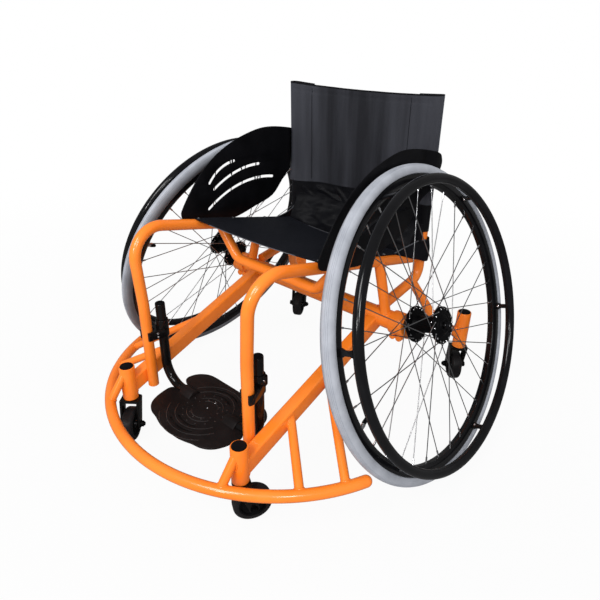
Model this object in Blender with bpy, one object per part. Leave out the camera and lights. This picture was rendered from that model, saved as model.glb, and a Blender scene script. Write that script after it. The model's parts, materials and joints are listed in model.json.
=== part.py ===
"""A basketball wheelchair with cambered, cross-spoked wheels, for Blender 4.5.

Units are metres and +Z is up. The chair faces -Y, so its own left side is at +X.
Places along Y are counted from the drive wheels' axle line, and heights from the
floor. The empty that carries everything moves the middle of the chair's outline
over the origin. Paired pieces are made on the left and mirrored to the right.
"""

import math

import bmesh
import bpy
from mathutils import Matrix, Vector

# Clearances
GAP = 0.0003
PIN_CLEARANCE = 0.0003

# Drive wheels
WHEEL_TRACK = 0.5828
CAMBER = math.radians(18.6)
RIM_RADIUS = 0.2855
TYRE_WIDTH = 0.025
TYRE_RISE = 0.0070
TYRE_SPREAD = math.radians(118)
RIM_DEPTH = 0.019
RIM_WIDTH = 0.0204
RIM_NOSE_WIDTH = 0.011
RIM_WALL = 0.0021
RIM_WELL_DEPTH = 0.0042
RIM_TAPER = 0.0070
PUSH_RIM_DROP = 0.0132
PUSH_RIM_TUBE = 0.0165
PUSH_RIM_OFFSET = 0.0433
PUSH_RIM_TABS = 6
TAB_WIDTH = 0.015
TAB_THICKNESS = 0.0055
TAB_MARGIN = 0.0010
TAB_SINK = 0.0025
WHEEL_FACETS = 32
SPOKES_PER_FLANGE = 18
SPOKE_CROSSINGS = 3
SPOKE_DIAMETER = 0.0019
SPOKE_OFFSET = 0.0010
SPOKE_CIRCLE = 0.0318
HUB_LENGTH = 0.070
HUB_FLANGE_RADIUS = 0.0358
HUB_FLANGE_SPACING = 0.0562
HUB_FLANGE_THICKNESS = 0.0040
HUB_BARREL_RADIUS = 0.0165
HUB_SHOULDER = 0.0040
HUB_NOSE = 0.0020
HUB_FACETS = 18

# Quick-release axles
PIN_RADIUS = 0.00635
PIN_COLLAR_RADIUS = 0.0135
PIN_TAIL = 0.030
PIN_FACETS = 12
PIN_STANDOUT = 0.0015
BUTTON_RADIUS = 0.0072
BUTTON_HEIGHT = 0.0042
BUTTON_CHAMFER = 0.0013
BUTTON_STEM_RADIUS = 0.0032
BUTTON_STEM_LENGTH = 0.026
BUTTON_TRAVEL = 0.003
BUTTON_BOTTOM_ROOM = 0.001

# Camber tube
CAMBER_TUBE_RADIUS = 0.0195
CAMBER_TUBE_FACETS = 16
CAMBER_TUBE_DROP = 0.0064
CAMBER_END_INSET = 0.0500
COLLAR_RADIUS = 0.0240
COLLAR_LENGTH = 0.030
CLAMP_LUG_RADIUS = 0.0070
CLAMP_LUG_LENGTH = 0.028
CLAMP_LUG_SPACING = 0.0150
CLAMP_LUG_BELOW = 0.0024
CLAMP_LUG_FACETS = 8

# Frame tubes
TUBE_RADIUS = 0.011
TUBE_FACETS = 10
TUBE_END_SHORT = 0.003
STRUT_RADIUS = 0.0083
BEAM_WIDTH = 0.025
BEAM_HEIGHT = 0.0335
BEAM_CORNER = 0.004
BEAM_X = 0.1725
BEAM_ABOVE_HOUSING_FOOT = 0.0280
BEAM_BELOW_CAMBER_TUBE = 0.0057
LEG_BEHIND_HOUSING = 0.044
LEG_FOOT_Z = 0.113
LEG_KINK_Z = 0.300
LEG_KINK_BEND = 0.25
RAIL_KNEE_X = 0.1605
RAIL_KNEE_AHEAD = 0.003
RAIL_KNEE_BEND = 0.058
RAIL_AXLE_Z = 0.3866
RAIL_SLOPE = 0.22
RAIL_INSET = 0.006
CANE_X = 0.180
CANE_TOP_Z = 0.683
CANE_AXLE_BACK = 0.1505
CANE_LEAN = 0.030
CANE_BEND = 0.032
CANE_FOOT_RISE = 0.0200
CANE_FOOT_SLOPE = 0.172
CROSS_TUBE_Y = -0.125
CROSS_TUBE_Z = 0.3475
CROSS_TUBE_HALF_FLAT = 0.112
CROSS_TUBE_BEND = 0.030
RAIL_STRUT_Y = -0.0054
RAIL_STRUT_FOOT_X = 0.2003
RAIL_STRUT_RADIUS = 0.0105
REAR_ARM_RADIUS = 0.0100
REAR_ARM_BEND = 0.06
REAR_ARM_START = (0.002, -0.024, -0.006)
REAR_ARM_JOIN = 0.026
REAR_ARM_KNEE_SHARE = 0.42
REAR_ARM_KNEE_OFFSET = (0, -0.008, -0.016)

# Castors
HOUSING_RADIUS = 0.016
HOUSING_RIM = 0.0022
CAP_DEPTH = 0.005
CAP_EDGE = 0.0002
CAP_CROWN = 0.0019
CAP_SHOULDER = 0.0040
FRONT_HOUSING_X = 0.1715
FRONT_HOUSING_BEHIND_BAR = 0.04644
FRONT_HOUSING_Z = 0.0917
FRONT_HOUSING_HEIGHT = 0.0771
FRONT_STRUT_JOIN = 0.061
REAR_HOUSING = (0.2580, 0.2460)
REAR_HOUSING_Z = 0.118
REAR_HOUSING_HEIGHT = 0.092
CASTOR_RADIUS = 0.036
CASTOR_TREAD = 0.024
CASTOR_HUB_WIDTH = 0.0294
CASTOR_BORE_RADIUS = 0.0043
CASTOR_HUB_RADIUS = 0.0105
CASTOR_DISH = 0.0046
CASTOR_SHOULDER = 0.0060
CASTOR_CROWN = 0.0060
CASTOR_FACETS = 16
HOUSING_FACETS = 16
FRONT_TRAIL = 0.019
REAR_TRAIL = 0.014
REAR_WHEEL_LIFT = 0.020
FORK_PLATE = 0.0054
FORK_CROWN = 0.0065
FORK_LEG_WIDTH = 0.0185
FORK_RUNNING_GAP = 0.0005
FORK_LEAN_SHARE = 0.4
STEM_RADIUS = 0.006
BOLT_RADIUS = 0.0040
BOLT_HEAD_RADIUS = 0.0066
BOLT_HEAD_HEIGHT = 0.0062
FRONT_HEADINGS = {"left": 60.0, "right": -50.0}
REAR_HEADINGS = {"left": 131.0, "right": -62.0}

# Bumper
BUMPER_RADIUS = 0.3668
BUMPER_AHEAD_OF_TYRE = 0.01818
BUMPER_Z = 0.1025
BUMPER_HALF_ANGLE = math.radians(67.5)
BUMPER_DOME_INSET = 0.0005
BUMPER_SIDE_STRUTS = {"bumper_side_strut": (49.0, 0.0878), "bumper_end_strut": (61.6, 0.1267)}

# Footrest
FOOT_TUBE_INSIDE_LEG = 0.0072
FOOT_TUBE_BEHIND_LEG = 0.032
FOOT_TUBE_RADIUS = 0.010
FOOT_TUBE_TOP = 0.2975
FOOT_TUBE_BEND = 0.050
FOOT_TUBE_LOW = 0.113
FOOT_TUBE_END_X = 0.052
PLATE_TOP = 0.1150
PLATE_THICKNESS = 0.0045
PLATE_HALF_WIDTH = 0.116
PLATE_AHEAD = 0.101
PLATE_BEHIND = 0.072
PLATE_RING_AHEAD = 0.014
PLATE_RING_SLOTS = (0.050, 0.066)
PLATE_SLOT_WIDTH = 0.004
SOCKET_RISE = 0.006
SOCKET_DROP = 0.001
SOCKET_LENGTH = 0.032
SOCKET_WALL = 0.0035
CLAMP_LOW = 0.225
CLAMP_HEIGHT = 0.045
CLAMP_WALL = 0.0045

# Upholstery and guards
SEAT_CLOTH = 0.0016
SEAT_FRONT = -0.194
SEAT_REAR = 0.116
SEAT_SAG = 0.012
SEAT_FRONT_SAG = 0.005
BACK_CLOTH = 0.0012
BACK_LOW = 0.414
BACK_TOP = 0.688
BACK_SAG = 0.012
BACK_FLAP = 0.045
GUARD_THICKNESS = 0.0020
GUARD_ABOVE_RAIL = 0.002
GUARD_LOW = (0.1835, 0.42)
GUARD_HIGH = (0.1788, 0.60)
GUARD_FLARE = (0.105, 0.132)
GUARD_FRONT = -0.2120
GUARD_BASE_ABOVE_RAIL = 0.0254
GUARD_LENGTH = 0.3710
GUARD_HEIGHT = 0.1865
SLOT_WIDTH = 0.006
SEAT_WRAP_START = math.radians(-24)
SEAT_WRAP_END = math.radians(97)

# Worked out from the driving sizes
TYRE_MIDDLE_RADIUS = RIM_RADIUS + TYRE_RISE
WHEEL_RADIUS = TYRE_MIDDLE_RADIUS + TYRE_WIDTH / 2
PUSH_RIM_RADIUS = RIM_RADIUS - PUSH_RIM_DROP
WHEEL_Z = TYRE_MIDDLE_RADIUS * math.cos(CAMBER) + TYRE_WIDTH / 2
TYRE_FRONT_Y = -math.sqrt(WHEEL_RADIUS**2 - ((WHEEL_Z - BUMPER_Z) / math.cos(CAMBER))**2)
BUMPER_END_Y = TYRE_FRONT_Y - BUMPER_AHEAD_OF_TYRE
BUMPER_CENTRE_Y = BUMPER_END_Y + BUMPER_RADIUS * math.cos(BUMPER_HALF_ANGLE)
BUMPER_FRONT_Y = BUMPER_CENTRE_Y - BUMPER_RADIUS - TUBE_RADIUS
AXLE_Y = -(BUMPER_FRONT_Y + WHEEL_RADIUS) / 2
CAMBER_TUBE_END_X = WHEEL_TRACK / 2 - CAMBER_END_INSET * math.cos(CAMBER)
CAMBER_TUBE_Z = WHEEL_Z - CAMBER_END_INSET * math.sin(CAMBER) - CAMBER_TUBE_DROP
BAR_BY_HOUSING_Y = BUMPER_CENTRE_Y - math.sqrt(BUMPER_RADIUS**2 - FRONT_HOUSING_X**2)
FRONT_HOUSING = (FRONT_HOUSING_X, BAR_BY_HOUSING_Y + FRONT_HOUSING_BEHIND_BAR)
BEAM_MIDDLE_AT_AXLE = CAMBER_TUBE_Z - BEAM_BELOW_CAMBER_TUBE
BEAM_MIDDLE_AT_HOUSING = FRONT_HOUSING_Z + BEAM_ABOVE_HOUSING_FOOT
BEAM_SLOPE = (BEAM_MIDDLE_AT_HOUSING - BEAM_MIDDLE_AT_AXLE) / FRONT_HOUSING[1]
LEG_X = BEAM_X - BEAM_WIDTH / 2 - GAP - TUBE_RADIUS
LEG_Y = FRONT_HOUSING[1] + LEG_BEHIND_HOUSING
RAIL_KNEE = (RAIL_KNEE_X, LEG_Y - RAIL_KNEE_AHEAD)
FOOT_TUBE = (LEG_X - FOOT_TUBE_INSIDE_LEG, LEG_Y + FOOT_TUBE_BEHIND_LEG)
GUARD_BASE = RAIL_AXLE_Z + GUARD_BASE_ABOVE_RAIL
PIN_END = HUB_LENGTH / 2 + PIN_STANDOUT
FORK_HALF_WIDTH = CASTOR_HUB_WIDTH / 2 + GAP + FORK_PLATE
SEAT_WRAP_RADIUS = TUBE_RADIUS + 2 * GAP
BACK_WRAP_RADIUS = TUBE_RADIUS + 2 * GAP


def clear_scene():
    for old in list(bpy.data.objects):
        bpy.data.objects.remove(old)


def finish(name, colour, roughness, metallic=0.0):
    """A plain surface of one colour."""
    made = bpy.data.materials.new(name)
    made.use_nodes = True
    surface = made.node_tree.nodes["Principled BSDF"]
    surface.inputs["Base Color"].default_value = (*colour, 1.0)
    surface.inputs["Roughness"].default_value = roughness
    surface.inputs["Metallic"].default_value = metallic
    return made


def linked(name, data):
    made = bpy.data.objects.new(name, data)
    bpy.context.scene.collection.objects.link(made)
    return made


def carrier(name, parent=None, place=None):
    """An empty that carries the pieces of one moving body."""
    made = linked(name, None)
    made.empty_display_size = 0.02
    made.parent = parent
    made.matrix_local = place or Matrix.Identity(4)
    return made


def piece(name, mesh, surface, parent):
    """One named solid of the chair."""
    made = linked(name, mesh)
    if not mesh.materials:
        mesh.materials.append(surface)
        mesh.shade_smooth()
        mesh.set_sharp_from_angle(angle=math.radians(35))
    mesh.name = name
    made.parent = parent
    return made


def mirrored(mesh):
    """The mesh's mirror image across the chair's middle."""
    image = mesh.copy()
    image.transform(Matrix.Diagonal((-1, 1, 1, 1)))
    image.flip_normals()
    return image


def pair(name, mesh, surface, parent):
    """A left piece and its mirror image on the right."""
    piece(name + "_right", mirrored(mesh), surface, parent)
    piece(name + "_left", mesh, surface, parent)


# Mesh tools


def from_bmesh(shape):
    """A mesh of the shape with doubled points merged and its faces pointing out."""
    bmesh.ops.remove_doubles(shape, verts=shape.verts, dist=1e-6)
    bmesh.ops.dissolve_degenerate(shape, edges=shape.edges, dist=1e-6)
    bmesh.ops.recalc_face_normals(shape, faces=shape.faces)
    mesh = bpy.data.meshes.new("shape")
    shape.to_mesh(mesh)
    shape.free()
    return mesh


def evaluated(holder):
    """The holder's mesh with its modifiers applied; the holder goes."""
    graph = bpy.context.evaluated_depsgraph_get()
    mesh = bpy.data.meshes.new_from_object(holder.evaluated_get(graph))
    bpy.data.objects.remove(holder)
    return mesh


def combined(operation, base, tools):
    """The base after a Boolean with each tool in turn."""
    holder = linked("holder", base)
    helpers = []
    for tool in tools:
        helper = linked("tool", tool)
        helper.hide_render = True
        helper.display_type = "WIRE"
        step = holder.modifiers.new("step", "BOOLEAN")
        step.operation = operation
        step.solver = "EXACT"
        step.object = helper
        helpers.append(helper)
    mesh = evaluated(holder)
    for helper in helpers:
        bpy.data.objects.remove(helper)
    return mesh


def cut(base, *tools):
    return combined("DIFFERENCE", base, tools)


def joined(base, *tools):
    return combined("UNION", base, tools)


def tube(points, radius, sides=TUBE_FACETS):
    """A round bar along the points with flat ends."""
    curve = bpy.data.curves.new("tube", "CURVE")
    curve.dimensions = "3D"
    curve.bevel_depth = radius
    curve.bevel_resolution = (sides - 4) // 2
    curve.use_fill_caps = True
    spline = curve.splines.new("POLY")
    spline.points.add(len(points) - 1)
    for knot, point in zip(spline.points, points):
        knot.co = (*point, 1.0)
    shape = bmesh.new()
    shape.from_mesh(evaluated(linked("holder", curve)))
    return from_bmesh(shape)


def turned(profile, facets, rolling=False):
    """The (radius, height) profile turned about Z.

    A profile that starts on the axis is closed by the axis, and any other is a ring.
    A rolling shape has flats that touch the profile's radius, one of them at +X.
    """
    shape = bmesh.new()
    half_step = math.pi / facets
    scale = 1 / math.cos(half_step) if rolling else 1.0
    turn = Matrix.Rotation(-half_step if rolling else 0.0, 3, "Z")
    verts = [shape.verts.new(turn @ Vector((r * scale, 0, z))) for r, z in profile]
    ring = profile[0][0] > 0
    ends = verts[1:] + verts[:1] if ring else verts[1:]
    edges = [shape.edges.new(edge) for edge in zip(verts, ends)]
    bmesh.ops.spin(
        shape,
        geom=verts + edges,
        axis=(0, 0, 1),
        cent=(0, 0, 0),
        angle=2 * math.pi,
        steps=facets,
        use_merge=True,
    )
    return from_bmesh(shape)


def hull(points):
    """The convex solid round the points."""
    shape = bmesh.new()
    for point in points:
        shape.verts.new(point)
    made = bmesh.ops.convex_hull(shape, input=shape.verts)
    inside = {item for item in made["geom_interior"] if isinstance(item, bmesh.types.BMVert)}
    bmesh.ops.delete(shape, geom=list(inside), context="VERTS")
    return from_bmesh(shape)


def box(low, high):
    return hull([Vector((x, y, z)) for x in (low[0], high[0]) for y in (low[1], high[1])
                 for z in (low[2], high[2])])


def circle(centre, radius, count, start=0.0):
    """Points on a circle in the plane, counter-clockwise."""
    return [
        Vector((centre[0] + radius * math.cos(start + 2 * math.pi * k / count),
                centre[1] + radius * math.sin(start + 2 * math.pi * k / count)))
        for k in range(count)
    ]


def plate(outlines, thickness):
    """A flat plate in the XY plane; outlines after the first are its holes."""
    curve = bpy.data.curves.new("plate", "CURVE")
    curve.dimensions = "2D"
    curve.fill_mode = "BOTH"
    curve.extrude = thickness / 2
    for outline in outlines:
        spline = curve.splines.new("POLY")
        spline.points.add(len(outline) - 1)
        for knot, point in zip(spline.points, outline):
            knot.co = (point[0], point[1], 0.0, 1.0)
        spline.use_cyclic_u = True
    shape = bmesh.new()
    shape.from_mesh(evaluated(linked("holder", curve)))
    return from_bmesh(shape)


def placed(mesh, matrix):
    mesh.transform(matrix)
    return mesh


# Paths

# A bend takes no more than this share of the straight run on either side of it
BEND_SHARE = 0.48


def bent(corners, bends, steps):
    """The path through the corners, each inner one an arc of its radius in so many steps."""
    corners = [Vector(corner) for corner in corners]
    path = [corners[0]]
    for before, corner, after, bend, parts in zip(
        corners, corners[1:], corners[2:], bends, steps
    ):
        back = (before - corner).normalized()
        ahead = (after - corner).normalized()
        half = back.angle(ahead) / 2
        room = BEND_SHARE * min((before - corner).length, (after - corner).length)
        reach = min(bend / math.tan(half), room)
        middle = corner + (back + ahead).normalized() * reach / math.cos(half)
        arm = corner + back * reach - middle
        axis = arm.cross(corner + ahead * reach - middle).normalized()
        for step in range(parts + 1):
            turn = Matrix.Rotation((math.pi - 2 * half) * step / parts, 3, axis)
            path.append(middle + turn @ arm)
    path.append(corners[-1])
    return path


def beam_z(y):
    return BEAM_MIDDLE_AT_AXLE + BEAM_SLOPE * y


def rail_z(y):
    return RAIL_AXLE_Z - RAIL_SLOPE * y


def rail_x(y):
    """The seat rail spreads from the knee towards the cane."""
    share = (y - RAIL_KNEE[1]) / (CANE_AXLE_BACK - RAIL_KNEE[1])
    return RAIL_KNEE[0] + (CANE_X - RAIL_INSET - RAIL_KNEE[0]) * share


def rail(y):
    return Vector((rail_x(y), y, rail_z(y)))


def cane_y(z):
    """The cane leans forward a little on its way up."""
    return CANE_AXLE_BACK - CANE_LEAN * z


def cane(z):
    return Vector((CANE_X, cane_y(z), z))


def rail_end_y():
    """Where the rail's middle line meets the cane's."""
    return (CANE_AXLE_BACK - CANE_LEAN * RAIL_AXLE_Z) / (1 - CANE_LEAN * RAIL_SLOPE)


def rail_path():
    knee = Vector((*RAIL_KNEE, rail_z(RAIL_KNEE[1])))
    foot = Vector((LEG_X, LEG_Y, LEG_FOOT_Z))
    kink = Vector((LEG_X, LEG_Y, LEG_KINK_Z))
    return bent([foot, kink, knee, rail(rail_end_y() - TUBE_END_SHORT)],
                [LEG_KINK_BEND, RAIL_KNEE_BEND], [2, 6])


def cane_foot_z(y):
    return CAMBER_TUBE_Z + CANE_FOOT_RISE + CANE_FOOT_SLOPE * y


def cane_elbow():
    """The corner where the cane's upright and its forward run would meet."""
    y = (CANE_AXLE_BACK - CANE_LEAN * cane_foot_z(0)) / (1 + CANE_LEAN * CANE_FOOT_SLOPE)
    return Vector((CANE_X, y, cane_foot_z(y)))


def cane_path():
    foot = Vector((CANE_X, CAMBER_TUBE_RADIUS / 2, cane_foot_z(CAMBER_TUBE_RADIUS / 2)))
    return bent([cane(CANE_TOP_Z), cane_elbow(), foot], [CANE_BEND], [5])


def beam_path():
    front = FRONT_HOUSING[1]
    return [Vector((BEAM_X, front, beam_z(front))), Vector((BEAM_X, 0, beam_z(0)))]


def wheel_place(side):
    """The drive wheel's own frame: Z runs out along the axle and +X down the camber."""
    turn = Matrix.Rotation(side * (math.pi / 2 - CAMBER), 4, "Y")
    return Matrix.Translation((side * WHEEL_TRACK / 2, 0, WHEEL_Z)) @ turn


def bumper_point(angle):
    return Vector((BUMPER_RADIUS * math.sin(angle),
                   BUMPER_CENTRE_Y - BUMPER_RADIUS * math.cos(angle), BUMPER_Z))


def bumper_path():
    steps = 18
    return [bumper_point(BUMPER_HALF_ANGLE * (2 * k / steps - 1)) for k in range(steps + 1)]


def foot_tube_path():
    top = Vector((*FOOT_TUBE, FOOT_TUBE_TOP))
    corner = Vector((*FOOT_TUBE, FOOT_TUBE_LOW))
    end = Vector((FOOT_TUBE_END_X, FOOT_TUBE[1], FOOT_TUBE_LOW))
    return bent([top, corner, end], [FOOT_TUBE_BEND], [6])


def camber_tube_line():
    end = Vector((CAMBER_TUBE_END_X + COLLAR_RADIUS, 0, CAMBER_TUBE_Z))
    return [Vector((-end.x, 0, end.z)), end]


# Cutters: each is a neighbour's outer shape, larger by the gap


def around(points, radius, sides=TUBE_FACETS):
    return tube(points, radius + GAP, sides)


def around_camber_tube():
    return around(camber_tube_line(), CAMBER_TUBE_RADIUS, CAMBER_TUBE_FACETS)


def around_housing(centre, low, height):
    past = 0.01
    radius = HOUSING_RADIUS + GAP
    profile = [(0.0, -past), (radius, -past), (radius, height + past), (0.0, height + past)]
    return placed(turned(profile, HOUSING_FACETS), Matrix.Translation((*centre, low)))


# Frame


def main_beam():
    """A rectangular tube with rounded edges, from the castor housing to the camber tube."""
    start, end = beam_path()
    run = end - start
    shape = bmesh.new()
    bmesh.ops.create_cube(shape, size=1.0)
    scale = Matrix.Diagonal((BEAM_WIDTH, run.length, BEAM_HEIGHT, 1))
    bmesh.ops.transform(shape, matrix=scale, verts=shape.verts)
    long_edges = [edge for edge in shape.edges if edge.calc_length() > run.length * 0.99]
    bmesh.ops.bevel(shape, geom=long_edges, offset=BEAM_CORNER, segments=2,
                    profile=0.5, affect="EDGES")
    tilt = Matrix.Rotation(math.atan(BEAM_SLOPE), 4, "X")
    bmesh.ops.transform(shape, matrix=Matrix.Translation((start + end) / 2) @ tilt,
                        verts=shape.verts)
    return cut(
        from_bmesh(shape),
        around_housing(FRONT_HOUSING, FRONT_HOUSING_Z, FRONT_HOUSING_HEIGHT),
        around_camber_tube(),
    )


def camber_tube():
    """The cross tube with a split collar at each end, cut square to the axles."""
    base = tube(camber_tube_line(), CAMBER_TUBE_RADIUS, CAMBER_TUBE_FACETS)
    extras = []
    cutters = []
    for side in (1, -1):
        inner = CAMBER_TUBE_END_X - COLLAR_LENGTH
        outer = CAMBER_TUBE_END_X + COLLAR_RADIUS
        extras.append(tube([(side * inner, 0, CAMBER_TUBE_Z), (side * outer, 0, CAMBER_TUBE_Z)],
                           COLLAR_RADIUS, CAMBER_TUBE_FACETS))
        for lug in (0, 1):
            x = side * (inner + CLAMP_LUG_RADIUS + lug * CLAMP_LUG_SPACING)
            z = CAMBER_TUBE_Z - COLLAR_RADIUS - CLAMP_LUG_BELOW
            extras.append(tube([(x, -CLAMP_LUG_LENGTH / 2, z), (x, CLAMP_LUG_LENGTH / 2, z)],
                               CLAMP_LUG_RADIUS, CLAMP_LUG_FACETS))
        place = wheel_place(side)
        beyond = [place @ Vector((0, 0, z)) for z in (-CAMBER_END_INSET, COLLAR_RADIUS)]
        cutters.append(tube(beyond, COLLAR_RADIUS + 2 * CAMBER_TUBE_RADIUS, CAMBER_TUBE_FACETS))
        tail = -CAMBER_END_INSET - PIN_TAIL - GAP
        hole = [place @ Vector((0, 0, z)) for z in (tail, 0.0)]
        cutters.append(tube(hole, PIN_RADIUS + PIN_CLEARANCE, PIN_FACETS))
    return cut(joined(base, *extras), *cutters)


def seat_rail():
    """One bent tube: the leg up from the beam's inner face, the knee and the rail."""
    return cut(tube(rail_path(), TUBE_RADIUS), around(cane_path(), TUBE_RADIUS))


def back_cane():
    """The back upright, whose foot curves forward to the camber tube."""
    return cut(tube(cane_path(), TUBE_RADIUS), around_camber_tube())


def front_cross_tube():
    """A shallow U under the seat's front, from rail to rail."""
    top = rail(CROSS_TUBE_Y)
    corner = Vector((CROSS_TUBE_HALF_FLAT, CROSS_TUBE_Y, CROSS_TUBE_Z))
    top = top + (corner - top).normalized() * TUBE_END_SHORT
    corners = [top, corner]
    corners += [Vector((-p.x, p.y, p.z)) for p in reversed(corners)]
    return cut(
        tube(bent(corners, [CROSS_TUBE_BEND] * 2, [3, 3]), TUBE_RADIUS),
        around(rail_path(), TUBE_RADIUS),
        mirrored(around(rail_path(), TUBE_RADIUS)),
    )


def rail_strut():
    """The upright from the end of the camber tube to the seat rail."""
    foot_z = CAMBER_TUBE_Z + CAMBER_TUBE_RADIUS - TUBE_END_SHORT
    foot = Vector((RAIL_STRUT_FOOT_X, RAIL_STRUT_Y, foot_z))
    top = rail(RAIL_STRUT_Y)
    top = top + (foot - top).normalized() * (TUBE_RADIUS - GAP)
    return cut(
        tube([foot, top], RAIL_STRUT_RADIUS),
        around(rail_path(), TUBE_RADIUS),
        around_camber_tube(),
    )


def rear_arm():
    """The tube from the cane's foot out and back to the rear castor's housing."""
    start = cane_elbow() + Vector(REAR_ARM_START)
    end = Vector((*REAR_HOUSING, REAR_HOUSING_Z + REAR_ARM_JOIN))
    knee = start.lerp(end, REAR_ARM_KNEE_SHARE) + Vector(REAR_ARM_KNEE_OFFSET)
    end = end + (knee - end).normalized() * TUBE_END_SHORT
    return cut(
        tube(bent([start, knee, end], [REAR_ARM_BEND], [3]), REAR_ARM_RADIUS),
        around(cane_path(), TUBE_RADIUS),
        around_housing(REAR_HOUSING, REAR_HOUSING_Z, REAR_HOUSING_HEIGHT),
    )


def castor_housing(centre, low, height):
    """A bearing tube with a bore for the fork's stem and a recess for its cap."""
    bore = STEM_RADIUS + PIN_CLEARANCE
    profile = [
        (bore, 0.0),
        (HOUSING_RADIUS, 0.0),
        (HOUSING_RADIUS, height),
        (HOUSING_RADIUS - HOUSING_RIM, height),
        (HOUSING_RADIUS - HOUSING_RIM, height - CAP_DEPTH),
        (bore, height - CAP_DEPTH),
    ]
    return placed(turned(profile, HOUSING_FACETS), Matrix.Translation((*centre, low)))


def housing_cap(centre, low, height):
    radius = HOUSING_RADIUS - HOUSING_RIM - GAP
    profile = [
        (0.0, GAP - CAP_DEPTH),
        (radius, GAP - CAP_DEPTH),
        (radius, CAP_EDGE),
        (radius - CAP_SHOULDER, (CAP_EDGE + 3 * CAP_CROWN) / 4),
        (0.0, CAP_CROWN),
    ]
    return placed(turned(profile, HOUSING_FACETS), Matrix.Translation((*centre, low + height)))


def bumper_bar():
    """The curved bar round the front, with domed ends."""
    inset = TUBE_RADIUS - BUMPER_DOME_INSET
    rings = [math.radians(angle) for angle in (0, 35, 65)]
    dome = [(0.0, -TUBE_RADIUS), (inset, -TUBE_RADIUS)]
    dome += [(inset * math.cos(angle), inset * math.sin(angle)) for angle in rings]
    dome += [(0.0, inset)]
    domes = []
    for side in (-1, 1):
        turn = Matrix.Rotation(side * BUMPER_HALF_ANGLE, 4, "Z")
        along = Matrix.Rotation(side * math.pi / 2, 4, "Y")
        end = Matrix.Translation(bumper_point(side * BUMPER_HALF_ANGLE))
        domes.append(placed(turned(dome, TUBE_FACETS), end @ turn @ along))
    return joined(tube(bumper_path(), TUBE_RADIUS), *domes)


def bumper_front_strut():
    """From the castor housing's front down to the bar."""
    x, y = FRONT_HOUSING
    start = Vector((x, y - HOUSING_RADIUS / 2, FRONT_HOUSING_Z + FRONT_STRUT_JOIN))
    angle = math.asin(x / BUMPER_RADIUS)
    end = bumper_point(angle)
    end = end + (start - end).normalized() * TUBE_END_SHORT
    return cut(
        tube([start, end], STRUT_RADIUS),
        around(bumper_path(), TUBE_RADIUS),
        around_housing(FRONT_HOUSING, FRONT_HOUSING_Z, FRONT_HOUSING_HEIGHT),
    )


def bumper_side_strut(angle, reach):
    """From the bar back to the outer face of the main beam, which it meets so far behind."""
    wall = BEAM_X + BEAM_WIDTH / 2 + GAP
    start = bumper_point(math.radians(angle))
    beam_y = start.y + reach
    end = Vector((BEAM_X, beam_y, beam_z(beam_y)))
    start = start + (end - start).normalized() * TUBE_END_SHORT
    block = box((0, BUMPER_FRONT_Y, 0), (wall, 0, CANE_TOP_Z))
    return cut(tube([start, end], STRUT_RADIUS), around(bumper_path(), TUBE_RADIUS), block)


# Footrest


def footrest_clamp():
    """A block that grips the leg and guides the footrest's upright."""
    leg = (LEG_X, LEG_Y)
    rounds = circle(leg, TUBE_RADIUS + CLAMP_WALL, 12)
    rounds += circle(FOOT_TUBE, FOOT_TUBE_RADIUS + CLAMP_WALL, 12)
    top = CLAMP_LOW + CLAMP_HEIGHT
    past = (CLAMP_LOW - CLAMP_WALL, top + CLAMP_WALL)
    block = hull([Vector((*p, z)) for p in rounds for z in (CLAMP_LOW, top)])
    guide = [Vector((*FOOT_TUBE, z)) for z in past]
    grip = [Vector((*leg, z)) for z in past]
    return cut(block, around(guide, FOOT_TUBE_RADIUS), around(grip, TUBE_RADIUS))


def footrest_tube():
    return tube(foot_tube_path(), FOOT_TUBE_RADIUS)


# How far a slot's round end stands out, as a share of its width
SLOT_NOSE_SHARE = 0.35


def arc_slot(start, middle, end, width, steps=8):
    """A slot with round ends along the arc through three points."""
    a, b, c = (Vector(p) for p in (start, middle, end))
    d = 2 * (a.x * (b.y - c.y) + b.x * (c.y - a.y) + c.x * (a.y - b.y))
    aa, bb, cc = a.length_squared, b.length_squared, c.length_squared
    centre = Vector(((aa * (b.y - c.y) + bb * (c.y - a.y) + cc * (a.y - b.y)) / d,
                     (aa * (c.x - b.x) + bb * (a.x - c.x) + cc * (b.x - a.x)) / d))
    radius = (a - centre).length
    first = math.atan2(a.y - centre.y, a.x - centre.x)
    sweep = math.atan2(c.y - centre.y, c.x - centre.x) - first
    sweep = (sweep + math.pi) % (2 * math.pi) - math.pi

    def ring(r):
        angles = [first + sweep * k / steps for k in range(steps + 1)]
        return [centre + Vector((math.cos(t), math.sin(t))) * r for t in angles]

    outer = ring(radius + width / 2)
    inner = list(reversed(ring(radius - width / 2)))
    nose = (outer[-1] - outer[-2]).normalized() * width * SLOT_NOSE_SHARE
    tail = (outer[0] - outer[1]).normalized() * width * SLOT_NOSE_SHARE
    return (outer + [(outer[-1] + inner[0]) / 2 + nose] + inner
            + [(outer[0] + inner[-1]) / 2 + tail])


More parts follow.
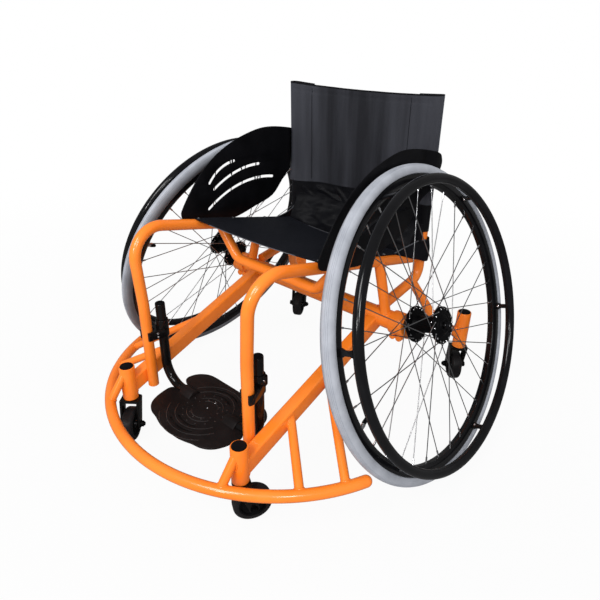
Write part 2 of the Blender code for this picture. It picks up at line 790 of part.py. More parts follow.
def footplate():
    """A moulded plate with side wings, drain slots and a socket under it for each tube."""
    y = FOOT_TUBE[1]
    ahead = [
        (0.0, 1.0),
        (0.345, 0.970),
        (0.638, 0.891),
        (0.828, 0.772),
        (0.948, 0.594),
        (1.0, 0.376),
        (0.966, 0.178),
        (0.862, 0.119),
    ]
    behind = [
        (0.724, -0.056),
        (0.724, 0.167),
        (0.914, 0.250),
        (0.991, 0.444),
        (0.948, 0.694),
        (0.845, 0.875),
        (0.672, 0.986),
        (0.345, 1.0),
    ]
    half = [(PLATE_HALF_WIDTH * across, y - PLATE_AHEAD * share) for across, share in ahead]
    half += [(PLATE_HALF_WIDTH * across, y + PLATE_BEHIND * share) for across, share in behind]
    right = [(-px, py) for px, py in reversed(half[1:])]
    outline = half + [(0.0, y + PLATE_BEHIND)] + right
    middle = y - PLATE_RING_AHEAD
    slots = []
    for radius in PLATE_RING_SLOTS:
        side, rise = radius * math.sin(math.radians(30)), radius * math.cos(math.radians(30))
        for s in (1, -1):
            slots.append(arc_slot((-side, middle + s * rise), (0, middle + s * radius),
                                  (side, middle + s * rise), PLATE_SLOT_WIDTH, 2))
    slab = placed(plate([outline, *slots], PLATE_THICKNESS),
                  Matrix.Translation((0, 0, PLATE_TOP - PLATE_THICKNESS / 2)))
    reach = FOOT_TUBE_RADIUS + SOCKET_WALL
    sockets = []
    for side in (1, -1):
        ends = [side * (FOOT_TUBE_END_X - SOCKET_WALL), side * (FOOT_TUBE_END_X + SOCKET_LENGTH)]
        rounds = circle((y, FOOT_TUBE_LOW - SOCKET_DROP), reach, 10)
        sockets.append(hull([Vector((sx, p.x, min(p.y, PLATE_TOP + SOCKET_RISE)))
                             for sx in ends for p in rounds]))
    tip = Vector((FOOT_TUBE_END_X - GAP, y, FOOT_TUBE_LOW))
    channel = around(foot_tube_path()[:-1] + [tip], FOOT_TUBE_RADIUS)
    return cut(joined(slab, *sockets), channel, mirrored(channel))


# Drive wheels, in their own frame


def tyre():
    """A high-pressure tyre seated between the rim's walls."""
    section = TYRE_WIDTH / 2
    half = [0.0, CAMBER, CAMBER + (TYRE_SPREAD - CAMBER) / 2, TYRE_SPREAD]
    angles = [-a for a in reversed(half[1:])] + half
    crown = [(TYRE_MIDDLE_RADIUS + section * math.cos(a), section * math.sin(a)) for a in angles]
    bead = RIM_WIDTH / 2 - RIM_WALL - GAP
    seat = RIM_RADIUS - RIM_WELL_DEPTH + GAP
    neck = RIM_RADIUS + GAP
    profile = crown + [(neck, bead), (seat, bead), (seat, -bead), (neck, -bead)]
    return turned(profile, WHEEL_FACETS, rolling=True)


def rim():
    """A channel rim with straight walls and a tapered nose."""
    wall = RIM_WIDTH / 2
    nose = RIM_NOSE_WIDTH / 2
    inner = RIM_RADIUS - RIM_DEPTH
    well = RIM_RADIUS - RIM_WELL_DEPTH
    half = [
        (inner, nose),
        (inner + RIM_TAPER, wall),
        (RIM_RADIUS, wall),
        (RIM_RADIUS, wall - RIM_WALL),
        (well, wall - RIM_WALL),
    ]
    profile = [(r, -z) for r, z in reversed(half)] + half
    return turned(profile, WHEEL_FACETS, rolling=True)


def spoke(hub_angle, rim_angle, flange, face):
    """A straight spoke from a flange hole to the rim's nose."""
    rim_radius = RIM_RADIUS - RIM_DEPTH - GAP
    start = Vector((SPOKE_CIRCLE * math.cos(hub_angle), SPOKE_CIRCLE * math.sin(hub_angle),
                    flange * HUB_FLANGE_SPACING / 2 + face * SPOKE_OFFSET))
    end = Vector((rim_radius * math.cos(rim_angle), rim_radius * math.sin(rim_angle),
                  face * SPOKE_OFFSET))
    run = end - start
    turn = Vector((0, 0, 1)).rotation_difference(run).to_matrix().to_4x4()
    ends = [Vector((p.x, p.y, z)) for p in circle((0, 0), SPOKE_DIAMETER / 2, 3)
            for z in (0.0, run.length - SPOKE_DIAMETER / 2)]
    return placed(hull(ends), Matrix.Translation(start) @ turn)


def hub():
    """The hub shell with its two drilled flanges and its crossed spokes."""
    bore = PIN_RADIUS + PIN_CLEARANCE
    end = HUB_LENGTH / 2
    flange = HUB_FLANGE_SPACING / 2
    half_flange = HUB_FLANGE_THICKNESS / 2
    half = [
        (HUB_BARREL_RADIUS, flange / 2),
        (HUB_BARREL_RADIUS + HUB_SHOULDER, flange - 1.5 * half_flange),
        (HUB_FLANGE_RADIUS, flange - half_flange),
        (HUB_FLANGE_RADIUS, flange + half_flange),
        (HUB_BARREL_RADIUS + HUB_SHOULDER, flange + half_flange),
        (HUB_BARREL_RADIUS - HUB_NOSE, end),
        (bore, end),
    ]
    shell = turned([(r, -z) for r, z in reversed(half)] + half, HUB_FACETS)
    pitch = 2 * math.pi / SPOKES_PER_FLANGE
    spokes = []
    for flange_side, start in ((1, 0.0), (-1, pitch / 2)):
        for hole in range(SPOKES_PER_FLANGE):
            leading = 1 if hole % 2 == 0 else -1
            angle = start + hole * pitch
            rim_angle = angle + leading * SPOKE_CROSSINGS * pitch
            spokes.append(spoke(angle, rim_angle, flange_side, leading * flange_side))
    return joined(shell, *spokes)


def push_rim():
    """The hand rim with the tabs that carry it on the wheel rim's wall."""
    radius = PUSH_RIM_TUBE / 2
    profile = [(PUSH_RIM_RADIUS + p.x, PUSH_RIM_OFFSET + p.y)
               for p in circle((0, 0), radius, 8, math.radians(22.5))]
    ring = turned(profile, WHEEL_FACETS, rolling=True)
    low = RIM_WIDTH / 2 + GAP
    inner = RIM_RADIUS - RIM_DEPTH + RIM_TAPER + TAB_MARGIN
    tabs = []
    for k in range(PUSH_RIM_TABS):
        tab = box((inner, -TAB_WIDTH / 2, low),
                  (inner + TAB_THICKNESS, TAB_WIDTH / 2, PUSH_RIM_OFFSET - TAB_SINK))
        tabs.append(placed(tab, Matrix.Rotation(2 * math.pi * (k + 0.5) / PUSH_RIM_TABS, 4, "Z")))
    return joined(ring, *tabs)


def axle_pin():
    """The quick-release axle with its collar against the camber tube's end."""
    well = PIN_END - BUTTON_STEM_LENGTH - BUTTON_TRAVEL - BUTTON_BOTTOM_ROOM
    profile = [
        (0.0, -CAMBER_END_INSET - PIN_TAIL),
        (PIN_RADIUS, -CAMBER_END_INSET - PIN_TAIL),
        (PIN_RADIUS, GAP - CAMBER_END_INSET),
        (PIN_COLLAR_RADIUS, GAP - CAMBER_END_INSET),
        (PIN_COLLAR_RADIUS, -HUB_LENGTH / 2 - GAP),
        (PIN_RADIUS, -HUB_LENGTH / 2 - GAP),
        (PIN_RADIUS, PIN_END),
        (BUTTON_STEM_RADIUS + PIN_CLEARANCE, PIN_END),
        (BUTTON_STEM_RADIUS + PIN_CLEARANCE, well),
        (0.0, well),
    ]
    return placed(turned(profile, PIN_FACETS), wheel_place(1))


def release_button():
    """The push button whose stem runs down inside the axle."""
    head = PIN_END + BUTTON_TRAVEL + GAP
    profile = [
        (0.0, PIN_END - BUTTON_STEM_LENGTH),
        (BUTTON_STEM_RADIUS, PIN_END - BUTTON_STEM_LENGTH),
        (BUTTON_STEM_RADIUS, head),
        (BUTTON_RADIUS, head),
        (BUTTON_RADIUS, head + BUTTON_HEIGHT - BUTTON_CHAMFER),
        (BUTTON_RADIUS - BUTTON_CHAMFER, head + BUTTON_HEIGHT),
        (0.0, head + BUTTON_HEIGHT),
    ]
    return turned(profile, PIN_FACETS)


# Castors, in their own frame: the swivel axis is Z, the axle lies along X and the
# wheel trails towards +Y, with the origin at the housing's lower face


def castor_fork(trail, drop, stem_length):
    """A crown plate, two tapering legs and the stem that turns in the housing."""
    top = -FORK_RUNNING_GAP
    low = top - FORK_CROWN
    leg_outer = FORK_HALF_WIDTH
    leg_inner = leg_outer - FORK_PLATE
    half = FORK_LEG_WIDTH / 2
    behind = trail * FORK_LEAN_SHARE + half
    crown_rounds = circle((0, 0), HOUSING_RADIUS, 12)
    crown_rounds += [Vector((sx * leg_outer, sy)) for sx in (-1, 1) for sy in (-half, behind)]
    crown = hull([Vector((*p, z)) for p in crown_rounds for z in (top, low)])
    root = top - FORK_CROWN / 3
    stem = turned([(0.0, root), (STEM_RADIUS, root), (STEM_RADIUS, stem_length),
                   (0.0, stem_length)], 10)
    legs = []
    for side in (-1, 1):
        outline = circle((trail, -drop), half, 10)
        outline += [Vector((y, z)) for y in (-half, behind) for z in (top - FORK_RUNNING_GAP, low)]
        legs.append(hull([Vector((side * x, p.x, p.y)) for p in outline
                          for x in (leg_inner, leg_outer)]))
    past = 2 * leg_outer
    hole = tube([(-past, trail, -drop), (past, trail, -drop)], BOLT_RADIUS + PIN_CLEARANCE, 8)
    return cut(joined(crown, stem, *legs), hole)


def castor_wheel():
    """A solid wheel with a crowned tread, dished sides and a long hub."""
    tread = CASTOR_TREAD / 2
    half = [
        (CASTOR_BORE_RADIUS, CASTOR_HUB_WIDTH / 2),
        (CASTOR_HUB_RADIUS, CASTOR_HUB_WIDTH / 2),
        (CASTOR_HUB_RADIUS, tread - CASTOR_DISH),
        (CASTOR_RADIUS - CASTOR_SHOULDER, tread),
        (CASTOR_RADIUS, tread - CASTOR_CROWN),
    ]
    profile = half + [(r, -z) for r, z in reversed(half)]
    return turned(profile, CASTOR_FACETS, rolling=True)


def castor_bolt():
    """The castor's axle bolt, its hexagonal head and nut outside the fork."""
    seat = FORK_HALF_WIDTH + GAP
    end = seat + BOLT_HEAD_HEIGHT
    half = [(BOLT_RADIUS, seat), (BOLT_HEAD_RADIUS, seat), (BOLT_HEAD_RADIUS, end), (0.0, end)]
    return turned([(r, -z) for r, z in reversed(half)] + half, 6)


# Upholstery


def cloth(rows, thickness):
    """A closed sheet over the grid of points, thickened along the grid's normals."""
    shape = bmesh.new()
    grid = [[shape.verts.new(point) for point in row] for row in rows]
    for row, following in zip(grid, grid[1:]):
        for a, b, c, d in zip(row, row[1:], following[1:], following):
            shape.faces.new((a, b, c, d))
    mesh = bpy.data.meshes.new("cloth")
    shape.to_mesh(mesh)
    shape.free()
    holder = linked("holder", mesh)
    wall = holder.modifiers.new("wall", "SOLIDIFY")
    wall.thickness = thickness
    wall.offset = 1.0
    wall.use_even_offset = True
    made = bmesh.new()
    made.from_mesh(evaluated(holder))
    return from_bmesh(made)


def seat_section(y, sag):
    """The seat cloth's lower side at one y, from the right rail's wrap to the left's."""
    centre = rail(y)
    half = []
    for k in range(7):
        angle = SEAT_WRAP_START + (SEAT_WRAP_END - SEAT_WRAP_START) * k / 6
        half.append(Vector((centre.x + SEAT_WRAP_RADIUS * math.cos(angle), y,
                            centre.z + SEAT_WRAP_RADIUS * math.sin(angle))))
    edge = half[-1]
    for share in (0.8, 0.55, 0.28, 0.0):
        half.append(Vector((edge.x * share, y, edge.z - sag * (1 - share * share))))
    return [Vector((-p.x, p.y, p.z)) for p in half[:-1]] + list(reversed(half))


def seat_sling():
    """The seat cloth, stretched between the rails and wrapped over their outer sides."""
    rows = []
    steps = 3
    for k in range(steps + 1):
        share = k / steps
        sag = SEAT_FRONT_SAG + (SEAT_SAG - SEAT_FRONT_SAG) * math.sin(math.pi * share / 2)
        rows.append(seat_section(SEAT_FRONT + (SEAT_REAR - SEAT_FRONT) * share, sag))
    return cloth(rows, SEAT_CLOTH)


def back_section(z):
    """The back cloth's inner side at one height, from flap to flap round both canes."""
    centre = cane(z)
    half = [Vector((centre.x - BACK_FLAP, centre.y + BACK_WRAP_RADIUS, z))]
    for k in range(7):
        angle = math.radians(90 - 30 * k)
        half.append(Vector((centre.x + BACK_WRAP_RADIUS * math.cos(angle),
                            centre.y + BACK_WRAP_RADIUS * math.sin(angle), z)))
    front = half[-1]
    for share in (0.7, 0.4, 0.0):
        half.append(Vector((front.x * share, front.y + BACK_SAG * (1 - share * share), z)))
    return [Vector((-p.x, p.y, p.z)) for p in half[:-1]] + list(reversed(half))


def back_sling():
    """The back cloth, a band round both canes."""
    steps = 2
    rows = [back_section(BACK_LOW + (BACK_TOP - BACK_LOW) * k / steps) for k in range(steps + 1)]
    return cloth(rows, BACK_CLOTH)


def guard_inner_x(y, z):
    """The guard leans in with height and flares round the back cloth at its rear."""
    share = (z - GUARD_LOW[1]) / (GUARD_HIGH[1] - GUARD_LOW[1])
    plain = GUARD_LOW[0] + (GUARD_HIGH[0] - GUARD_LOW[0]) * share
    wide = CANE_X + BACK_WRAP_RADIUS + BACK_CLOTH + GAP
    t = min(max((y - GUARD_FLARE[0]) / (GUARD_FLARE[1] - GUARD_FLARE[0]), 0.0), 1.0)
    return plain + (wide - plain) * t * t * (3 - 2 * t)


def guard_point(along, up):
    """A point of the guard's outline, by its shares of the guard's length and height."""
    return GUARD_FRONT + GUARD_LENGTH * along, GUARD_BASE + GUARD_HEIGHT * up


def side_guard():
    """A thin clothing guard with three arc slots."""
    edge = [
        (0.000, 0.193),
        (0.013, 0.268),
        (0.070, 0.429),
        (0.140, 0.590),
        (0.224, 0.729),
        (0.299, 0.820),
        (0.415, 0.917),
        (0.574, 0.992),
        (0.701, 1.000),
        (0.879, 0.946),
        (0.957, 0.901),
        (0.995, 0.836),
        (1.000, 0.740),
        (0.903, 0.515),
        (0.809, 0.322),
        (0.714, 0.145),
        (0.561, 0.064),
        (0.418, 0.000),
    ]
    outline = [guard_point(*shares) for shares in edge]
    outline += [(y, rail_z(y) + GUARD_ABOVE_RAIL) for y in (-0.1000, -0.1500, -0.2020)]
    arcs = [
        ((0.208, 0.477), (0.294, 0.622), (0.394, 0.676), 4),
        ((0.240, 0.397), (0.445, 0.563), (0.593, 0.584), 5),
        ((0.197, 0.182), (0.456, 0.397), (0.714, 0.391), 6),
    ]
    slots = [arc_slot(*[guard_point(*shares) for shares in arc], SLOT_WIDTH, steps)
             for *arc, steps in arcs]
    sheet = plate([outline, *slots], GUARD_THICKNESS)
    shape = bmesh.new()
    shape.from_mesh(sheet)
    rows = 4
    for k in range(rows + 1):
        y = GUARD_FLARE[0] + (GUARD_FLARE[1] - GUARD_FLARE[0]) * k / rows
        everything = shape.verts[:] + shape.edges[:] + shape.faces[:]
        bmesh.ops.bisect_plane(shape, geom=everything, plane_co=(y, 0, 0), plane_no=(1, 0, 0))
    for vert in shape.verts:
        y, z, out = vert.co
        vert.co = Vector((guard_inner_x(y, z) + GUARD_THICKNESS / 2 + out, y, z))
    return from_bmesh(shape)


# Assembly


def build_frame(chair, paint, black, metal, fabric, guard_black):
    pair("main_beam", main_beam(), paint, chair)
    piece("camber_tube", camber_tube(), paint, chair)
    pair("seat_rail", seat_rail(), paint, chair)
    pair("back_cane", back_cane(), paint, chair)
    piece("front_cross_tube", front_cross_tube(), paint, chair)
    pair("rail_strut", rail_strut(), paint, chair)
    pair("rear_arm", rear_arm(), paint, chair)
    piece("bumper_bar", bumper_bar(), paint, chair)
    pair("bumper_front_strut", bumper_front_strut(), paint, chair)
    for name, (angle, reach) in BUMPER_SIDE_STRUTS.items():
        pair(name, bumper_side_strut(angle, reach), paint, chair)
    for name, place in (
        ("front", (FRONT_HOUSING, FRONT_HOUSING_Z, FRONT_HOUSING_HEIGHT)),
        ("rear", (REAR_HOUSING, REAR_HOUSING_Z, REAR_HOUSING_HEIGHT)),
    ):
        pair(name + "_castor_housing", castor_housing(*place), paint, chair)
        pair(name + "_housing_cap", housing_cap(*place), black, chair)
    pair("footrest_clamp", footrest_clamp(), black, chair)
    pair("axle_pin", axle_pin(), metal, chair)
    pair("side_guard", side_guard(), guard_black, chair)
    piece("seat_sling", seat_sling(), fabric, chair)
    piece("back_sling", back_sling(), fabric, chair)


def build_footrest(chair, black, plastic):
    body = carrier("footrest", chair)
    pair("footrest_tube", footrest_tube(), black, body)
    piece("footplate", footplate(), plastic, body)


def build_drive_wheels(chair, rubber, black, metal):
    shapes = {
        "tyre": (tyre(), rubber),
        "rim": (rim(), black),
        "hub": (hub(), black),
        "push_rim": (push_rim(), black),
    }
    button = release_button()
    for word, side in (("left", 1), ("right", -1)):
        place = wheel_place(side)
        wheel = carrier("wheel_" + word, chair, place)
        for name, (mesh, surface) in shapes.items():
            piece(name + "_" + word, mesh, surface, wheel)
        piece("release_button_" + word, button, metal, carrier("button_" + word, chair, place))


def build_castors(chair, black, rubber, metal):
    wheel_mesh = castor_wheel()
    bolt_mesh = castor_bolt()
    for end, centre, low, height, trail, lift, headings in (
        ("front", FRONT_HOUSING, FRONT_HOUSING_Z, FRONT_HOUSING_HEIGHT, FRONT_TRAIL, 0.0,
         FRONT_HEADINGS),
        ("rear", REAR_HOUSING, REAR_HOUSING_Z, REAR_HOUSING_HEIGHT, REAR_TRAIL, REAR_WHEEL_LIFT,
         REAR_HEADINGS),
    ):
        drop = low - CASTOR_RADIUS - lift
        fork_mesh = castor_fork(trail, drop, height - CAP_DEPTH - GAP)
        for word, side in (("left", 1), ("right", -1)):
            name = end + "_castor"
            heading = Matrix.Rotation(math.radians(headings[word] - 90), 4, "Z")
            place = Matrix.Translation((side * centre[0], centre[1], low)) @ heading
            swivel = carrier(name + "_swivel_" + word, chair, place)
            piece(name + "_fork_" + word, fork_mesh, black, swivel)
            axle_place = Matrix.Translation((0, trail, -drop)) @ Matrix.Rotation(
                math.pi / 2, 4, "Y"
            )
            axle = carrier(name + "_axle_" + word, swivel, axle_place)
            piece(name + "_wheel_" + word, wheel_mesh, rubber, axle)
            bolt = piece(name + "_bolt_" + word, bolt_mesh, metal, swivel)
            bolt.matrix_local = axle_place


def main():
    clear_scene()
    paint = finish("orange_paint", (0.90, 0.23, 0.04), 0.30)
    black = finish("black_gloss", (0.012, 0.012, 0.013), 0.25)
    guard_black = finish("black_guard", (0.012, 0.012, 0.014), 0.45)
    plastic = finish("dark_plastic", (0.022, 0.018, 0.018), 0.50)
    fabric = finish("black_fabric", (0.030, 0.031, 0.036), 0.75)
    rubber = finish("grey_tyre", (0.40, 0.42, 0.45), 0.45)
    castor_rubber = finish("castor_rubber", (0.020, 0.020, 0.022), 0.55)
    metal = finish("bright_metal", (0.55, 0.55, 0.56), 0.30, 1.0)

    chair = carrier("chair", place=Matrix.Translation((0, AXLE_Y, 0)))
    build_frame(chair, paint, black, metal, fabric, guard_black)
    build_footrest(chair, black, plastic)
    build_drive_wheels(chair, rubber, black, metal)
    build_castors(chair, black, castor_rubber, metal)


main()
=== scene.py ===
"""The looks of a basketball wheelchair, for Blender 4.5.

Units are metres and +Z is up. The chair faces -Y, so its own left side is at +X.
Pieces of the frame are modelled with Y counted from the drive wheels' axle line, for the
left side, and mirrored to the right. Pieces of a wheel or a castor are modelled in its own
frame and are the same on both sides. settle() puts each where it belongs.
"""

import json
import math

import bmesh
import bpy
from mathutils import Matrix, Vector, bvhtree, geometry, noise


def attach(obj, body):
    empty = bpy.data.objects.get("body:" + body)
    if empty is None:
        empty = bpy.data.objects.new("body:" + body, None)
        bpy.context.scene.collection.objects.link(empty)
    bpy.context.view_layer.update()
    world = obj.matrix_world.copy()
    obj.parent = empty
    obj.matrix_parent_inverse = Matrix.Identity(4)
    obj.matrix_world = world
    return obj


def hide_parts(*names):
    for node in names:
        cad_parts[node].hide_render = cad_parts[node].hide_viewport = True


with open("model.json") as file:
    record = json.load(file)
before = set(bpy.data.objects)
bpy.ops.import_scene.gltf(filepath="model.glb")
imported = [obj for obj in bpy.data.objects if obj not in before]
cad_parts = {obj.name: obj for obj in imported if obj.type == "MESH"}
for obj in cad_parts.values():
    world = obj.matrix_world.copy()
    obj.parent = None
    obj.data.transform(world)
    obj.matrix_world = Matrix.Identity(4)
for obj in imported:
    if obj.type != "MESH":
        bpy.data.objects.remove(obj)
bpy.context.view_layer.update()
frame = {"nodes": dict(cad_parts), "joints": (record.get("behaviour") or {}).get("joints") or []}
joints = {joint["name"]: joint for joint in frame["joints"]}

SIDES = {"left": 1, "right": -1}
ENDS = ("front", "rear")

# Where the moving pieces sit, from the frame's own joints
AXLE = Vector(joints["drive_wheel_spin_left"]["pos_m"])
AXLE_OUT = Vector(joints["drive_wheel_spin_left"]["axis"])
CAMBER = math.atan2(AXLE_OUT.z, AXLE_OUT.x)
CHAIR = Matrix.Translation((0, AXLE.y, 0))
HERE = Matrix()
# A plate drawn in XY stands up in YZ, with its thickness along X
STANDING = Matrix(((0, 0, 1), (1, 0, 0), (0, 1, 0))).to_4x4()
GAP = 0.0003

# Pieces that stand for a solid of the frame with another name
STANDS_FOR = {"button_knob": "release_button", "castor_tread": "castor_wheel",
              "seat_cloth": "seat_sling", "back_panel": "back_sling"}

# Frame tubes
TUBE_RADIUS = 0.011
STRUT_RADIUS = 0.0083
RAIL_STRUT_RADIUS = 0.0105
REAR_ARM_RADIUS = 0.0100
TUBE_SIDES = 28
BEND_STEP = math.radians(6)
# Blender's spin turns against the right-hand rule
SPIN_SIGN = -1
BEAM_X = 0.1725
BEAM_WIDTH = 0.025
BEAM_HEIGHT = 0.0335
BEAM_CORNER = 0.0042
BEAM_SLOPE = 0.366
BEAM_MIDDLE_AT_AXLE = 0.2617
LEG_X = BEAM_X - BEAM_WIDTH / 2 - TUBE_RADIUS - GAP
LEG_Y = -0.344
LEG_FOOT_Z = 0.113
LEG_KINK_Z = 0.300
LEG_KINK_BEND = 0.25
RAIL_KNEE = (0.1605, -0.347)
RAIL_KNEE_BEND = 0.058
RAIL_AXLE_Z = 0.3866
RAIL_SLOPE = 0.22
RAIL_INSET = 0.006
CANE_X = 0.180
CANE_TOP_Z = 0.683
CANE_AXLE_BACK = 0.1505
CANE_LEAN = 0.030
CANE_BEND = 0.032
CANE_FOOT_RISE = 0.0200
CANE_FOOT_SLOPE = 0.172
CROSS_TUBE_Y = -0.125
CROSS_TUBE_Z = 0.3475
CROSS_TUBE_HALF_FLAT = 0.112
CROSS_TUBE_BEND = 0.030
RAIL_STRUT_Y = -0.0054
RAIL_STRUT_FOOT_X = 0.2003
REAR_ARM_START = (0.002, -0.024, -0.006)
REAR_ARM_JOIN = 0.026
REAR_ARM_KNEE_SHARE = 0.42
REAR_ARM_KNEE_OFFSET = (0, -0.008, -0.016)
REAR_ARM_BEND = 0.06

# Camber tube
CAMBER_TUBE_RADIUS = 0.0195
CAMBER_TUBE_DROP = 0.0064
CAMBER_END_INSET = 0.0500
CAMBER_TUBE_END_X = AXLE.x - CAMBER_END_INSET * math.cos(CAMBER)
CAMBER_TUBE_Z = AXLE.z - CAMBER_END_INSET * math.sin(CAMBER) - CAMBER_TUBE_DROP
COLLAR_RADIUS = 0.0240
COLLAR_LENGTH = 0.030
COLLAR_EDGE = 0.0009
CLAMP_LUG_RADIUS = 0.0070
CLAMP_LUG_LENGTH = 0.028
CLAMP_LUG_SPACING = 0.0150
CLAMP_LUG_SUNK = 0.35
CLAMP_LUG_EDGE = 0.0010

# Bumper
BUMPER_RADIUS = 0.3668
BUMPER_CENTRE_Y = -0.1102
BUMPER_Z = 0.1025
BUMPER_HALF_ANGLE = math.radians(67.5)
BUMPER_STRUTS = {"side": (49.0, -0.263), "end": (61.6, -0.158)}
FRONT_STRUT_JOIN = 0.061

# Castor housings and their caps
HOUSING_RADIUS = 0.016
HOUSINGS = {
    "front": {"centre": (0.1715, -0.388), "low": 0.0917, "height": 0.0771},
    "rear": {"centre": (0.2580, 0.2460), "low": 0.118, "height": 0.092},
}
HOUSING_LIP = 0.0014
HOUSING_FOOT_WALL = 0.0035
HOUSING_MOUTH_WALL = 0.0022
HOUSING_MOUTH_DEPTH = 0.003
CAP_CLEAR = 0.0002
CAP_SUNK = 0.004
CAP_CROWN = 0.0024

# Welds
WELD_BEAD = 0.0016
WELD_RIPPLE = 0.14
WELD_REACH = 1.6
WELD_STEPS = 36
WELD_STEPS_PER_FACE = 12
# A bead's rays start a little inside a tube that is as wide as its target
SLIM_TUBE = 0.98
SLIM_BEAM = 0.985


# Selecting and editing


def deselect():
    bpy.ops.object.select_all(action="DESELECT")


def pick(piece):
    """Makes one piece the only selected and active one."""
    deselect()
    piece.select_set(True)
    bpy.context.view_layer.objects.active = piece
    return piece


def edit(piece):
    """Opens a piece in edit mode with all of it selected."""
    pick(piece)
    bpy.ops.object.mode_set(mode="EDIT")
    bpy.ops.mesh.select_mode(type="VERT")
    bpy.ops.mesh.select_all(action="SELECT")


def leave():
    bpy.ops.object.mode_set(mode="OBJECT")
    return bpy.context.object


def extrude(move):
    bpy.ops.mesh.extrude_region_move(TRANSFORM_OT_translate={"value": tuple(move)})


def face_outwards():
    """Merges doubles and turns all faces outwards."""
    bpy.ops.mesh.select_all(action="SELECT")
    bpy.ops.mesh.remove_doubles(threshold=1e-6)
    bpy.ops.mesh.normals_make_consistent(inside=False)


def close_ends():
    bpy.ops.mesh.select_all(action="SELECT")
    bpy.ops.mesh.fill_holes(sides=0)
    face_outwards()


def select_where(piece, kind, wanted):
    """Opens a piece with the edges or faces selected, by kind, for which wanted() is true."""
    edit(piece)
    bpy.ops.mesh.select_all(action="DESELECT")
    bpy.ops.mesh.select_mode(type=kind)
    shape = bmesh.from_edit_mesh(piece.data)
    for item in shape.edges if kind == "EDGE" else shape.faces:
        item.select_set(bool(wanted(item)))
    shape.select_flush_mode()
    bmesh.update_edit_mesh(piece.data)


def cut_off(piece, point, outward):
    """Cuts away what lies beyond a plane and closes the cut."""
    edit(piece)
    bpy.ops.mesh.bisect(plane_co=point, plane_no=outward, use_fill=True, clear_outer=True)
    face_outwards()
    return leave()


def modify(piece, kind, **settings):
    """Adds a modifier to the piece and applies it."""
    pick(piece)
    made = piece.modifiers.new(kind.lower(), kind)
    for name, value in settings.items():
        setattr(made, name, value)
    bpy.ops.object.modifier_apply(modifier=made.name)
    return piece


def soften(piece, width, segments=2, angle=35):
    """Rounds the sharp edges of a piece."""
    return modify(piece, "BEVEL", width=width, segments=segments, limit_method="ANGLE",
                  angle_limit=math.radians(angle), harden_normals=False)


def apply_place(piece):
    """Moves a piece's place into its mesh."""
    pick(piece)
    bpy.ops.object.transform_apply(location=True, rotation=True, scale=True)
    return piece


def put(piece, place):
    """Puts a piece in a place and moves the place into its mesh."""
    piece.matrix_world = place
    return apply_place(piece)


def at(x, y, z):
    return Matrix.Translation((x, y, z))


def twin(piece, name="copy"):
    """A copy of a piece with its own mesh."""
    made = piece.copy()
    made.data = piece.data.copy()
    made.name = name
    bpy.context.scene.collection.objects.link(made)
    return made


def turn_outwards(piece):
    """Turns all faces of a piece outwards."""
    edit(piece)
    bpy.ops.mesh.normals_make_consistent(inside=False)
    return leave()


def mirrored(piece, name, mirror=Matrix.Diagonal((-1, 1, 1, 1))):
    """The piece's mirror image, across the chair's middle unless another mirror is given."""
    return turn_outwards(put(twin(piece, name), mirror))


def ring_of(piece, count, first=0.0):
    """Even copies of a piece round Z from a first angle; the piece itself goes."""
    copies = [put(twin(piece), Matrix.Rotation(first + 2 * math.pi * k / count, 4, "Z"))
              for k in range(count)]
    bpy.data.objects.remove(piece)
    return copies


def join(pieces, name):
    """Joins pieces into the first of them."""
    deselect()
    for piece in pieces:
        piece.select_set(True)
    bpy.context.view_layer.objects.active = pieces[0]
    if len(pieces) > 1:
        bpy.ops.object.join()
    pieces[0].name = name
    return pieces[0]


def settle(piece, name, surface, body, place=CHAIR, smooth=32):
    """Gives a finished piece its name, place, finish and body, and hides its plain solid."""
    piece.name = name
    piece.data.name = name
    put(piece, place @ piece.matrix_world)
    piece.data.materials.clear()
    piece.data.materials.append(surface)
    bpy.ops.object.shade_smooth_by_angle(angle=math.radians(smooth))
    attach(piece, body)
    solid = name
    for own, other in STANDS_FOR.items():
        solid = solid.replace(own, other)
    if solid in frame["nodes"]:
        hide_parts(solid)


def settle_pair(piece, name, surface, body="frame", smooth=32):
    """Settles a left piece and its mirror image."""
    right = mirrored(piece, name + "_right")
    settle(piece, name + "_left", surface, body, smooth=smooth)
    settle(right, name + "_right", surface, body, smooth=smooth)


# Shapes


def aim(direction):
    """The turn that brings +Z onto a direction."""
    return Vector(direction).to_track_quat("Z", "Y")


def facing(point, direction):
    """A place at the point whose +Z runs along the direction."""
    return Matrix.Translation(Vector(point)) @ aim(direction).to_matrix().to_4x4()


def polar(radius, angle, z=0.0):
    return Vector((radius * math.cos(angle), radius * math.sin(angle), z))


def unit(value):
    """A value kept between 0 and 1."""
    return min(max(value, 0.0), 1.0)


def smooth_step(share):
    return share * share * (3 - 2 * share)


def block(centre, size, turn=(0, 0, 0)):
    bpy.ops.mesh.primitive_cube_add(size=1, location=centre, rotation=turn, scale=size)
    return apply_place(bpy.context.object)


def round_bar(start, end, radius, sides=TUBE_SIDES):
    """A plain round bar between two points."""
    start = Vector(start)
    run = Vector(end) - start
    bpy.ops.mesh.primitive_cylinder_add(vertices=sides, radius=radius, depth=run.length,
                                        location=start + run / 2, rotation=aim(run).to_euler())
    return apply_place(bpy.context.object)


def ball(centre, radius, segments, rings, height=1.0):
    """A round ball, or a flatter one where its height is under 1."""
    bpy.ops.mesh.primitive_uv_sphere_add(segments=segments, ring_count=rings, radius=radius,
                                         location=centre, scale=(1, 1, height))
    return apply_place(bpy.context.object)


def start_circle(radius, sides, centre, turn=(0, 0, 0)):
    """Opens a new circle, ready to be extruded or spun."""
    bpy.ops.mesh.primitive_circle_add(vertices=sides, radius=radius, location=centre,
                                      rotation=turn)
    edit(apply_place(bpy.context.object))


